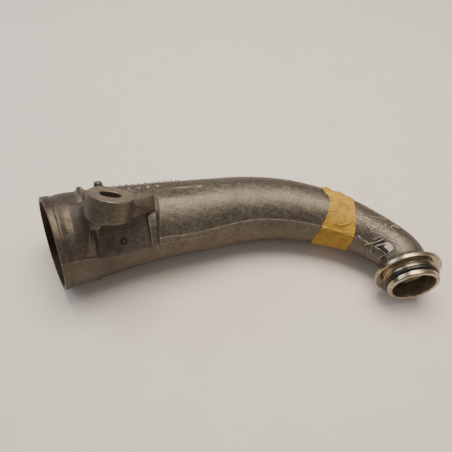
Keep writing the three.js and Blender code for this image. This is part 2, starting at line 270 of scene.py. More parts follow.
@dataclass(frozen=True)
class Rest:
    """How the elbow lies: its turns from the pipe's frame, and the shift that brings the ring's middle to
    the middle of the ring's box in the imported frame.

    Attributes:
        yaw: Heading of the large end, in degrees.
        pitch: Rise of the pipe along its heading, in degrees.
        roll: Tilt of the bend's plane, in degrees.
    """

    yaw: float = 21.9
    pitch: float = -3.765
    roll: float = -1.937

    def turn(self) -> Array:
        """Rotation matrix from the pipe's frame to the part's: roll, then pitch, then yaw."""
        angles = zip("ZYX", (self.yaw, -self.pitch, self.roll))
        yaw, pitch, roll = (Matrix.Rotation(math.radians(angle), 3, axis) for axis, angle in angles)
        return np.array(yaw @ pitch @ roll)

    def place(self, points: Array, ring_middle: Array) -> Array:
        """Points in the part's frame, in metres.

        Args:
            points: Points (N, 3) in the pipe's frame, in millimetres.
            ring_middle: Middle of the rubber ring in the pipe's frame.

        Returns:
            The points where the elbow lies.
        """
        low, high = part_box("o_ring")
        return (points - ring_middle) @ self.turn().T * MM + np.array((low + high) / 2)

    def lift(self, places: Array, ring_middle: Array) -> Array:
        """The way back from the part's frame in metres to the pipe's in millimetres."""
        low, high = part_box("o_ring")
        return (places - np.array((low + high) / 2)) / MM @ self.turn() + ring_middle


LINE = Centreline()
REST = Rest()


# ---- Meshes --------------------------------------------------------------------------------------------


def angles_round(parts: Sequence[tuple[float, float, float]], coarse: float) -> Array:
    """Angles round the pipe that stand closer together over some parts: the count of columns up to an
    angle is the running sum of one over the spacing, scaled to a whole number.

    Args:
        parts: First angle, last angle and spacing of each finer part.
        coarse: Spacing elsewhere.

    Returns:
        Rising angles in degrees.
    """
    angle = np.arange(0.0, 360.0, 0.05)
    step = np.full(len(angle), coarse)
    for first, last, spacing in parts:
        step[(angle > first) & (angle < last)] = spacing
    count = np.concatenate([[0.0], np.cumsum(0.05 / step)])
    whole = round(count[-1])
    return np.interp(np.arange(whole) * count[-1] / whole, count[:-1], angle)


def grid_faces(rows: int, columns: int, around: bool = True, closed: bool = False) -> Array:
    """Four-cornered faces of a grid of points that are numbered row by row.

    Args:
        rows: Number of rows.
        columns: Points in each row.
        around: Whether the last column meets the first.
        closed: Whether the last row meets the first.

    Returns:
        Corner numbers (F, 4), turning from column to row.
    """
    row = np.arange(rows if closed else rows - 1)[:, None]
    column = np.arange(columns if around else columns - 1)[None, :]
    next_row, next_column = (row + 1) % rows, (column + 1) % columns
    corners = [row * columns + column, row * columns + next_column]
    corners += [next_row * columns + next_column, next_row * columns + column]
    return np.stack([np.broadcast_to(c, corners[0].shape) for c in corners], -1).reshape(-1, 4)


def mesh_of(name: str, points: Array, faces: Array) -> bpy.types.Mesh:
    """A mesh of four-cornered faces, with its normals turned outwards.

    Args:
        name: Name of the mesh.
        points: Points (N, 3) in metres.
        faces: Corner numbers (F, 4).

    Returns:
        The mesh.
    """
    mesh = bpy.data.meshes.new(name)
    mesh.vertices.add(len(points))
    mesh.vertices.foreach_set("co", points.astype(np.float32).ravel())
    mesh.loops.add(faces.size)
    mesh.loops.foreach_set("vertex_index", faces.astype(np.int32).ravel())
    mesh.polygons.add(len(faces))
    mesh.polygons.foreach_set("loop_start", np.arange(0, faces.size, 4, dtype=np.int32))
    mesh.update(calc_edges=True)
    mesh.validate()
    shell = bmesh.new()
    shell.from_mesh(mesh)
    if shell.calc_volume(signed=True) < 0.0:
        bmesh.ops.reverse_faces(shell, faces=shell.faces)
    shell.to_mesh(mesh)
    shell.free()
    return mesh


def piece_of(mesh: bpy.types.Mesh, sharp: float = 32.0) -> bpy.types.Object:
    """An object of a mesh in the scene, smooth but for edges sharper than an angle in degrees."""
    mesh.shade_smooth()
    mesh.set_sharp_from_angle(angle=math.radians(sharp))
    piece = bpy.data.objects.new(mesh.name, mesh)
    bpy.context.scene.collection.objects.link(piece)
    return piece


def points_of(mesh: bpy.types.Mesh) -> Array:
    """The mesh's points (N, 3) in metres."""
    flat = np.empty(len(mesh.vertices) * 3, np.float32)
    mesh.vertices.foreach_get("co", flat)
    return flat.reshape(-1, 3).astype(float)


def attach(mesh: bpy.types.Mesh, name: str, values: Array) -> None:
    """Stores a number or a vector for each point of a mesh, for its finish to read.

    Args:
        mesh: The mesh.
        name: Name of the attribute.
        values: Numbers (N,) or vectors (N, 3).
    """
    kind, key = ("FLOAT", "value") if values.ndim == 1 else ("FLOAT_VECTOR", "vector")
    stored = mesh.attributes.new(name, kind, "POINT")
    stored.data.foreach_set(key, values.astype(np.float32).ravel())


def united(first: bpy.types.Mesh, second: bpy.types.Mesh, name: str) -> bpy.types.Mesh:
    """The union of two closed meshes, as one new mesh.

    Args:
        first: One closed mesh.
        second: The other.
        name: Name of the new mesh.

    Returns:
        The new mesh.
    """
    pieces = [bpy.data.objects.new(mesh.name, mesh) for mesh in (first, second)]
    for piece in pieces:
        bpy.context.scene.collection.objects.link(piece)
    join = pieces[0].modifiers.new("join", "BOOLEAN")
    join.operation = "UNION"
    join.solver = "MANIFOLD"
    join.object = pieces[1]
    view = bpy.context.evaluated_depsgraph_get()
    mesh = bpy.data.meshes.new_from_object(pieces[0].evaluated_get(view))
    mesh.name = name
    for piece in pieces:
        bpy.data.objects.remove(piece)
    return mesh


def surface_of(
    distance: Callable[[Array], Array], low: Array, high: Array, step: float
) -> tuple[Array, Array]:
    """Closed surface where a distance field is zero, by dual contouring: each grid cell that the surface
    crosses gets one point, which lies as near as it can to the tangent planes at the cell's crossings, and
    each crossed grid edge gets one face through its four cells.

    Args:
        distance: Field of points (N, 3), below zero inside.
        low: Lowest corner of the grid.
        high: Highest corner of the grid.
        step: Size of a cell.

    Returns:
        Points (N, 3) and faces (F, 4).
    """
    count = np.ceil((high - low) / step).astype(int) + 1
    axes = [low[i] + step * np.arange(count[i]) for i in range(3)]
    grid = np.stack(np.meshgrid(*axes, indexing="ij"), -1).reshape(-1, 3)
    value = np.concatenate([distance(part) for part in np.array_split(grid, 12)]).reshape(count)
    for side in (0, -1):
        value[side], value[:, side], value[:, :, side] = step, step, step
    inside = value < 0.0
    cells = count - 1
    sums = np.zeros((int(np.prod(cells)), 13))
    quads = []
    for axis in range(3):
        b, c = (axis + 1) % 3, (axis + 2) % 3
        ahead = [slice(None)] * 3
        ahead[axis] = slice(1, None)
        behind = [slice(None)] * 3
        behind[axis] = slice(None, -1)
        from_, to = value[tuple(behind)], value[tuple(ahead)]
        edge = np.argwhere(inside[tuple(behind)] != inside[tuple(ahead)])
        start, end = from_[tuple(edge.T)], to[tuple(edge.T)]
        point = low + step * edge
        point[:, axis] += step * start / (start - end)
        slope = np.empty_like(point)
        reach = 0.1 * step
        for i in range(3):
            nudge = np.zeros(3)
            nudge[i] = reach
            slope[:, i] = distance(point + nudge) - distance(point - nudge)
        slope /= np.linalg.norm(slope, axis=1, keepdims=True) + 1e-12
        level = np.sum(slope * point, axis=1, keepdims=True)
        squares = slope[:, [0, 0, 0, 1, 1, 2]] * slope[:, [0, 1, 2, 1, 2, 2]]
        row = np.hstack([squares, slope * level, point, np.ones((len(point), 1))])
        ring = []
        for along_b, along_c in ((0, 0), (-1, 0), (-1, -1), (0, -1)):
            cell = edge.copy()
            cell[:, b] += along_b
            cell[:, c] += along_c
            number = np.ravel_multi_index(np.clip(cell, 0, cells - 1).T, cells)
            ring.append(number)
            for k in range(13):
                sums[:, k] += np.bincount(number, row[:, k], len(sums))
        ring = np.stack(ring, -1)
        flip = start < 0.0
        quads.append(np.where(flip[:, None], ring, ring[:, ::-1]))
    used = np.flatnonzero(sums[:, 12] > 0)
    part = sums[used]
    mean = part[:, 9:12] / part[:, 12:]
    hold = 0.06 * part[:, 12]
    left = part[:, [0, 1, 2, 1, 3, 4, 2, 4, 5]].reshape(-1, 3, 3) + hold[:, None, None] * np.eye(3)
    right = part[:, 6:9] + hold[:, None] * mean
    found = np.linalg.solve(left, right[:, :, None])[:, :, 0]
    found = mean + np.clip(found - mean, -0.75 * step, 0.75 * step)
    number = np.full(len(sums), -1)
    number[used] = np.arange(len(used))
    return found, number[np.vstack(quads)]


def hull_planes(points: Array) -> tuple[Array, Array]:
    """Planes of the convex hull of points.

    Args:
        points: Points (N, 3).

    Returns:
        Outward normals (P, 3) and their levels (P,), so that a point p is inside where every n.p is below
        its level.
    """
    hull = bmesh.new()
    for point in points:
        hull.verts.new(point)
    bmesh.ops.convex_hull(hull, input=hull.verts)
    hull.normal_update()
    normals = np.array([face.normal for face in hull.faces])
    levels = np.array([face.normal.dot(face.verts[0].co) for face in hull.faces])
    hull.free()
    return normals, levels


# ---- Finishes ------------------------------------------------------------------------------------------


def linear(colour: str) -> tuple[float, float, float, float]:
    """The linear value of an sRGB hex colour, such as "#8a8172"."""
    parts = [int(colour[i : i + 2], 16) / 255.0 for i in (1, 3, 5)]
    parts = [p / 12.92 if p <= 0.04045 else ((p + 0.055) / 1.055) ** 2.4 for p in parts]
    return (*parts, 1.0)


def add(
    tree: bpy.types.NodeTree,
    kind: str,
    inputs: dict[int | str, object] | None = None,
    out: int | str = 0,
    stops: Sequence[tuple[float, str]] = (),
    **settings: object,
) -> bpy.types.NodeSocket | None:
    """Adds a node with its settings and links.

    Args:
        tree: The node tree.
        kind: The node's type, without its ShaderNode.
        inputs: What each input holds, by name or number: a socket to link, or a value.
        out: The output that is wanted, by name or number.
        stops: Place and sRGB hex colour of each stop, on a node with a colour ramp.
        **settings: The node's own settings.

    Returns:
        The output's socket, if the node has outputs.
    """
    node = tree.nodes.new("ShaderNode" + kind)
    for name, value in settings.items():
        setattr(node, name, value)
    for name, value in (inputs or {}).items():
        if isinstance(value, bpy.types.NodeSocket):
            tree.links.new(value, node.inputs[name])
        else:
            node.inputs[name].default_value = value
    for number, (place, colour) in enumerate(stops):
        marks = node.color_ramp.elements
        mark = marks[number] if number < len(marks) else marks.new(place)
        mark.position, mark.color = place, linear(colour)
    return node.outputs[out] if node.outputs else None


def lumps(place: bpy.types.NodeSocket, size: float, detail: float = 3.0) -> dict[int | str, object]:
    """Inputs of noise whose lumps are about a size in millimetres, on coordinates in metres."""
    return {"Vector": place, "Scale": 1.0 / (size * MM), "Detail": detail, "Roughness": 0.55}


def spread_over(by: bpy.types.NodeSocket, low: float, high: float) -> dict[int | str, object]:
    """Inputs of a range that runs from low to high as noise runs over its usual span, 0.3 to 0.7."""
    return {"Value": by, "From Min": 0.3, "From Max": 0.7, "To Min": low, "To Max": high}


def mean(
    tree: bpy.types.NodeTree, first: bpy.types.NodeSocket, second: bpy.types.NodeSocket
) -> bpy.types.NodeSocket:
    """Half the sum of two numbers."""
    total = add(tree, "Math", {0: first, 1: second}, operation="ADD")
    return add(tree, "Math", {0: total, 1: 0.5}, operation="MULTIPLY")


@dataclass(frozen=True)
class Finish:
    """What every finish holds.

    Attributes:
        name: Common name of the material and how its surface was made.
        slot: The record's material slot.
    """

    name: str = "plain"
    slot: str = ""

    def inputs(self, tree: bpy.types.NodeTree) -> dict[int | str, object]:
        """What the shader's inputs hold, by name."""
        raise NotImplementedError

    def material(self) -> bpy.types.Material:
        """Builds the material: one Principled shader with the finish's inputs."""
        material = bpy.data.materials.new(self.name)
        material.use_nodes = True
        tree = material.node_tree
        tree.nodes.clear()
        shader = add(tree, "BsdfPrincipled", self.inputs(tree))
        add(tree, "OutputMaterial", {"Surface": shader})
        return material


@dataclass(frozen=True)
class CastAluminium(Finish):
    """Sand-cast, shot-blasted aluminium that has weathered: warm grey, matte and grainy to the eye, darker in
    patches and brighter where an edge was rubbed, with soot towards the large end and painted shade
    underneath.

    Attributes:
        light: Colour of the cleaner metal.
        dark: Colour of the duller patches.
        rubbed: Colour of rubbed edges.
        soot_and_shade: Colour of the soot near the large end, which also paints the shade underneath.
        deposit: Colour of the oily deposit in the duct.
        ink: Colour of the marker.
        patch: Size of the patches in millimetres.
        mottle: Size of the mottle between them.
        grit: Size of the blasting dents; real ones are under 0.3 mm and would not show.
        ring: Radius of the marker's ring and half the width of its line.
        ink_middle: Where the ring's middle lies, in metres.
    """

    name: str = "sand_cast_aluminium"
    slot: str = "cast_aluminium"
    light: str = "#8b8377"
    dark: str = "#736b61"
    rubbed: str = "#c9c2b2"
    soot_and_shade: str = "#4e453e"
    deposit: str = "#3a2f24"
    ink: str = "#0d0a0a"
    patch: float = 26.0
    mottle: float = 4.0
    grit: float = 1.0
    ring: tuple[float, float] = (2.6, 0.8)
    ink_middle: tuple[float, float, float] = (0.0, 0.0, 0.0)

    def inputs(self, tree: bpy.types.NodeTree) -> dict[int | str, object]:
        """Patchy, grainy metal under layers of wear, soot with painted shade underneath, deposit and ink, with
        a blasted bump.
        """
        place = add(tree, "TexCoord", out="Object")
        patches = add(tree, "TexNoise", lumps(place, self.patch, 4.0))
        mottle = add(tree, "TexNoise", lumps(place, self.mottle))
        grain = add(tree, "TexNoise", lumps(place, self.grit, 2.0))
        tone = mean(tree, patches, mottle)
        base = add(tree, "ValToRGB", {"Fac": tone}, stops=((0.36, self.dark), (0.62, self.light)))
        speck = add(tree, "ValToRGB", {"Fac": grain}, stops=((0.34, "#b4b4b4"), (0.66, "#ffffff")))
        base = add(tree, "MixRGB", {0: 1.0, 1: base, 2: speck}, blend_type="MULTIPLY")
        worn, soot_and_underside_shade, inside = (
            add(tree, "Attribute", out="Fac", attribute_name=name) for name in ("worn", "soot_and_underside_shade", "inside")
        )
        uneven = add(tree, "MapRange", spread_over(patches, 0.2, 1.0))
        # the soot share holds painted shade under the pipe as well as soot near the large end
        stain_and_shade = add(tree, "Math", {0: soot_and_underside_shade, 1: uneven}, operation="MULTIPLY")
        ink = self.ring_mark(tree, place)
        layers = ((worn, self.rubbed), (stain_and_shade, self.soot_and_shade), (inside, self.deposit), (ink, self.ink))
        for share, colour in layers:
            base = add(tree, "MixRGB", {0: share, 1: base, 2: linear(colour)})
        relief = add(tree, "Math", {0: grain, 1: mottle}, operation="ADD")
        return {
            "Base Color": base,
            "Metallic": add(tree, "MapRange", {"Value": ink, "To Min": 0.92, "To Max": 0.0}),
            "Roughness": add(tree, "MapRange", spread_over(mottle, 0.44, 0.58)),
            "Normal": add(tree, "Bump", {"Height": relief, "Strength": 0.6, "Distance": 0.25 * MM}),
        }

    def ring_mark(self, tree: bpy.types.NodeTree, place: bpy.types.NodeSocket) -> bpy.types.NodeSocket:
        """An open ring of marker ink: 1 where a point's distance from the ring's middle is within half the
        line's width of the ring's radius."""
        away = add(tree, "VectorMath", {0: place, 1: self.ink_middle}, "Value", operation="DISTANCE")
        radius, half = self.ring
        return add(tree, "Math", {0: away, 1: radius * MM, 2: half * MM}, operation="COMPARE")


@dataclass(frozen=True)
class TurnedAluminium(Finish):
    """Aluminium turned on a lathe: bright, with fine rings that stretch each reflection across the tool's
    path.

    Attributes:
        bright: Colour of the bottoms of the rings.
        dull: Colour of their tops.
        pitch: Spacing of the rings in millimetres; real feed marks are nearer 0.1 and would not show.
        rough: Roughness of the bright and the dull rings.
        scraped: Roughness of the bore, which a boring bar leaves duller.
    """

    name: str = "lathe_turned_aluminium"
    slot: str = "turned_aluminium"
    bright: str = "#c2b6a0"
    dull: str = "#857863"
    pitch: float = 0.45
    rough: tuple[float, float] = (0.18, 0.34)
    scraped: float = 0.5

    def inputs(self, tree: bpy.types.NodeTree) -> dict[int | str, object]:
        """Rings along the turned outline, smeared unevenly, in the colour, the roughness and the bump."""
        along, bored = (
            add(tree, "Attribute", out="Fac", attribute_name=name) for name in ("turning", "bored")
        )
        feed = {"W": along, "Scale": 1.0 / self.pitch, "Detail": 2.0}
        rings = add(tree, "TexNoise", feed, noise_dimensions="1D")
        smear = add(tree, "TexNoise", lumps(add(tree, "TexCoord", out="Object"), 7.0))
        tone = mean(tree, rings, smear)
        rough = add(tree, "MapRange", spread_over(tone, self.rough[1], self.rough[0]))
        scraped = (self.scraped, self.scraped, self.scraped, 1.0)
        return {
            "Base Color": add(tree, "ValToRGB", {"Fac": tone}, stops=((0.38, self.dull), (0.6, self.bright))),
            "Metallic": 1.0,
            "Roughness": add(tree, "MixRGB", {0: bored, 1: rough, 2: scraped}),
            "Normal": add(tree, "Bump", {"Height": rings, "Strength": 0.35, "Distance": 0.03 * MM}),
        }


@dataclass(frozen=True)
class FacedAluminium(Finish):
    """Aluminium faced with a cutter: flat and light, with a satin grain in place of the cast skin.

    Attributes:
        light: Colour of the brighter metal.
        dark: Colour of the duller metal.
    """

    name: str = "faced_aluminium"
    slot: str = "cast_aluminium"
    light: str = "#8c7f70"
    dark: str = "#776b5f"

    def inputs(self, tree: bpy.types.NodeTree) -> dict[int | str, object]:
        """Soft patches of colour, with the cutter's grain in the roughness and the bump."""
        place = add(tree, "TexCoord", out="Object")
        grain = add(tree, "TexNoise", lumps(place, 0.7))
        tone = add(tree, "TexNoise", lumps(place, 6.0))
        return {
            "Base Color": add(tree, "ValToRGB", {"Fac": tone}, stops=((0.38, self.dark), (0.62, self.light))),
            "Metallic": 0.85,
            "Roughness": add(tree, "MapRange", spread_over(grain, 0.4, 0.55)),
            "Normal": add(tree, "Bump", {"Height": grain, "Strength": 0.3, "Distance": 0.05 * MM}),
        }


@dataclass(frozen=True)
class MouldedRubber(Finish):
    """Moulded nitrile rubber: near black and satin, with a faint bloom that greys it in spots."""

    name: str = "moulded_nitrile_rubber"
    slot: str = "black_rubber"

    def inputs(self, tree: bpy.types.NodeTree) -> dict[int | str, object]:
        """Black with its bloom, and a fine moulded grain."""
        place = add(tree, "TexCoord", out="Object")
        bloom = add(tree, "TexNoise", lumps(place, 3.0))
        grain = add(tree, "TexNoise", lumps(place, 0.8, 2.0))
        return {
            "Base Color": add(tree, "ValToRGB", {"Fac": bloom}, stops=((0.4, "#0b0806"), (0.7, "#171310"))),
            "Roughness": add(tree, "MapRange", spread_over(bloom, 0.32, 0.48)),
            "IOR": 1.52,
            "Normal": add(tree, "Bump", {"Height": grain, "Strength": 0.2, "Distance": 0.03 * MM}),
        }


@dataclass(frozen=True)
class CrepedPaper(Finish):
    """Creped paper masking tape: tan and matte, with fine folds across the strip that catch the light, darker
    in blotches where its glue is damp, and darkened on its lower side as painted shade.

    Attributes:
        light: Colour of the folds' tops.
        dark: Colour of their bottoms.
        stain_and_shade: Colour of the glue that shows through, which also paints the shade on the strip's
            lower side.
        crepe: Spacing of the folds in millimetres; the finest real ones are nearer 0.4 and would not show.
    """

    name: str = "creped_masking_paper"
    slot: str = "tan_paper_tape"
    light: str = "#c9a23f"
    dark: str = "#a27d2c"
    stain_and_shade: str = "#876525"
    crepe: float = 1.1

    def inputs(self, tree: bpy.types.NodeTree) -> dict[int | str, object]:
        """Folds drawn long across the strip, blotches of colour, and the glue's stain with the painted shade
        of the strip's lower side.
        """
        flat = add(tree, "Attribute", out="Vector", attribute_name="spread")
        drawn = add(tree, "Mapping", {"Vector": flat, "Scale": (0.16, 1.0, 1.0)})
        crepe = {"Vector": drawn, "Scale": 1.0 / self.crepe, "Detail": 3.0, "Roughness": 0.6}
        folds = add(tree, "TexNoise", crepe)
        blotch = add(tree, "TexNoise", lumps(add(tree, "TexCoord", out="Object"), 9.0, 4.0))
        tone = mean(tree, folds, blotch)
        base = add(tree, "ValToRGB", {"Fac": tone}, stops=((0.38, self.dark), (0.6, self.light)))
        glue_and_underside_shade = add(tree, "Attribute", out="Fac", attribute_name="glue_and_underside_shade")
        return {
            "Base Color": add(tree, "MixRGB", {0: glue_and_underside_shade, 1: base, 2: linear(self.stain_and_shade)}),
            "Roughness": add(tree, "MapRange", spread_over(blotch, 0.62, 0.8)),
            "IOR": 1.48,
            "Normal": add(tree, "Bump", {"Height": folds, "Strength": 0.6, "Distance": 0.12 * MM}),
        }


@dataclass(frozen=True)
class ClearFilm(Finish):
    """Clear polypropylene packing film: see-through where it sticks down, darker over part of the inside of
    the bend with a painted dark reflection, and milky where it has lifted into blisters and creases, with
    painted glints on their tops and a painted reflection of a bright window over one patch.

    Attributes:
        clear: Colour of the film where it sticks.
        milk_and_glint_colour: Colour of its lifted folds, which also paints their glints and the window's
            reflection.
        dark_reflection_colour: Colour of the painted dark reflection.
        seen: How much it hides, from where it sticks to the tops of its folds.
        dark_reflection_seen: How much more it hides under the painted dark reflection.
    """

    name: str = "clear_polypropylene_film"
    slot: str = "clear_film_tape"
    clear: str = "#7d7262"
    milk_and_glint_colour: str = "#e9e2d6"
    dark_reflection_colour: str = "#3b3330"
    seen: tuple[float, float] = (0.05, 0.62)
    dark_reflection_seen: float = 0.34

    def inputs(self, tree: bpy.types.NodeTree) -> dict[int | str, object]:
        """Colour and cover that follow how far the film has lifted, with its painted glints and window
        reflection, and the painted dark reflection, under a gloss coat."""
        milk_and_glints, painted_dark_reflection = (add(tree, "Attribute", out="Fac", attribute_name=name) for name in ("milk_and_glints", "painted_dark_reflection"))
        stuck = add(tree, "MixRGB", {0: painted_dark_reflection, 1: linear(self.clear), 2: linear(self.dark_reflection_colour)})
        white = add(tree, "MapRange", {"Value": milk_and_glints, "From Min": 0.1, "From Max": 0.7})
        seen = add(tree, "MapRange", {"Value": milk_and_glints, "To Min": self.seen[0], "To Max": self.seen[1]})
        waves_in_it = add(tree, "TexNoise", lumps(add(tree, "TexCoord", out="Object"), 5.0, 2.0))
        return {
            "Base Color": add(tree, "MixRGB", {0: white, 1: stuck, 2: linear(self.milk_and_glint_colour)}),
            "Roughness": 0.12,
            "IOR": 1.6,
            "Coat Weight": 1.0,
            "Coat Roughness": 0.04,
            "Alpha": add(tree, "Math", {0: painted_dark_reflection, 1: self.dark_reflection_seen, 2: seen}, operation="MULTIPLY_ADD"),
            "Normal": add(tree, "Bump", {"Height": waves_in_it, "Strength": 0.25, "Distance": 0.15 * MM}),
        }


@dataclass(frozen=True)
class PaintedTable(Finish):
    """Painted board of the table: pale, warm and faintly satin."""

    name: str = "painted_table_board"

    def inputs(self, tree: bpy.types.NodeTree) -> dict[int | str, object]:
        """Two near shades of paint in wide patches."""
        tone = add(tree, "TexNoise", lumps(add(tree, "TexCoord", out="Object"), 60.0))
        paint = add(tree, "ValToRGB", {"Fac": tone}, stops=((0.3, "#efe6dd"), (0.7, "#f3eae2")))
        return {"Base Color": paint, "Roughness": 0.55}


# ---- Casting -------------------------------------------------------------------------------------------


@dataclass(frozen=True)
class Recess:
    """Flat recess under the lug, between a slanting wall and an upright one.

    Attributes:
        start: Station of the wall behind, at its upper end.
        slant: How far that wall runs back per degree below its bend.
        bend: Angle at which it starts to slant.
        end: Station of the wall ahead.
        angle: Direction that the flat faces.
        depth: How far it lies below the pipe's skin.
        wall: Thickness of the metal behind it.
        margin: How much further the duct's wall is moved in.
    """

    start: float = 47.0
    slant: float = 0.174
    bend: float = 121.8
    end: float = 95.3
    angle: float = 138.0
    depth: float = 4.2
    wall: float = 3.4
    margin: float = 4.0

    def flat(self, angle: Array, radius: Array, depth: float) -> Array:
        """Radius of a flat at a depth: the flat's distance over the cosine of the turn from its
        direction."""
        turn = np.radians(np.clip(np.abs(turned_from(angle, self.angle)), 0.0, 60.0))
        return (radius - depth) / np.cos(turn)

    def back(self, angle: Array) -> Array:
        """Station of the wall behind at an angle."""
        return self.start - self.slant * np.clip(turned_from(angle, self.bend), 0.0, 40.0)

    def cut(self, along: Array, angle: Array, radius: Array) -> Array:
        """The pipe's radius with the recess cut in: the lesser of the skin and the flat, between the two
        walls."""
        flat = lesser(radius, self.flat(angle, radius, self.depth), 1.2)
        back = self.back(angle)
        within = ramp(along, back - 0.7, back + 0.9) * ramp(along, self.end + 0.8, self.end - 0.8)
        return radius + within * (flat - radius)

    def duct(self, along: Array, angle: Array, radius: Array, duct: Array) -> Array:
        """The duct's radius with the flat's wall standing into it."""
        flat = np.minimum(duct, self.flat(angle, radius, self.depth + self.wall))
        start, end = self.start - self.margin, self.end + self.margin
        within = ramp(along, start - 3.0, start) * ramp(along, end + 2.0, end)
        return duct + within * (flat - duct)

    def beside_wall(self, along: Array, angle: Array) -> Array:
        """1 at either wall, falling to 0 at 3 mm from it."""
        near = bell(along, self.back(angle), 3.0) + bell(along, self.end, 3.0)
        return near * ramp(angle, 95.0, 105.0) * ramp(angle, 190.0, 180.0)


@dataclass(frozen=True)
class OuterSkin:
    """Thicker skin ahead of the lug: it starts with a slanting step, ends below in a sharp edge and dies
    out along the pipe.

    Attributes:
        rise: Its height at the top and at the lower edge.
        step_foot: Stations where the step starts, at the upper and the lower end.
        step_head: Stations where it has risen.
        angles: Angles of the step's upper and lower ends.
        fade: Stations between which it dies out.
        lower: Angle of the lower edge.
    """

    rise: tuple[float, float] = (2.2, 2.8)
    step_foot: tuple[float, float] = (104.7, 101.6)
    step_head: tuple[float, float] = (109.8, 103.6)
    angles: tuple[float, float] = (107.0, 156.0)
    fade: tuple[float, float] = (125.0, 190.0)
    lower: float = 162.8

    def height(self, along: Array, angle: Array) -> Array:
        """Height of the skin: a step along the pipe, times a ramp round its upper side, times a sharp
        lower edge."""
        foot = np.interp(angle, self.angles, self.step_foot)
        head = np.interp(angle, self.angles, self.step_head)
        step = np.clip((along - foot) / (head - foot), 0.0, 1.0)
        around = ramp(angle, 84.0, 104.0) * ramp(angle, self.lower + 0.8, self.lower - 0.8)
        rise = np.interp(angle, self.angles, self.rise)
        return rise * step * around * ramp(along, self.fade[1], self.fade[0])


@dataclass(frozen=True)
class Seam:
    """Low ridge where two halves of the mould met.

    Attributes:
        path: Station and angle of points along it.
        height: Height of the ridge.
        half: Half its width.
        shoulder: Height of the gentle slope on its lower side.
    """

    path: tuple[tuple[float, float], ...]
    height: float = 0.45
    half: float = 1.0
    shoulder: float = 0.0

    def at(self, along: Array) -> Array:
        """Angle of the seam at a station."""
        return curve_through(self.path, along)

    def rise(self, along: Array, angle: Array, radius: Array) -> Array:
        """Height of the seam: a hump over its line, and a slope 3.5 mm wide below it."""
        below = np.radians(turned_from(angle, 0.0) - self.at(along)) * radius
        below = (below + np.pi * radius) % (2.0 * np.pi * radius) - np.pi * radius
        first, last = self.path[0][0], self.path[-1][0]
        ends = ramp(along, first - 3.0, first) * ramp(along, last + 3.0, last)
        slope = self.shoulder * ramp(below, 3.5, 0.0) * (below > 0.0)
        return ends * np.maximum(self.height * bell(below, 0.0, self.half), slope)


@dataclass(frozen=True)
class Pips:
    """Row of plain raised pips where a casting carries its marking."""

    start: float
    pitch: float
    count: int
    angle: float
    radius: float = 2.2
    height: float = 1.5

    def rise(self, along: Array, angle: Array, radius: Array) -> Array:
        """Height of the nearest pip: flat on top, with round shoulders 1 mm wide."""
        nearest = np.clip(np.round((along - self.start) / self.pitch), 0, self.count - 1)
        across = np.radians(turned_from(angle, self.angle)) * radius
        away = np.hypot(along - self.start - nearest * self.pitch, across)
        return self.height * ramp(away, self.radius + 0.3, self.radius - 0.8)


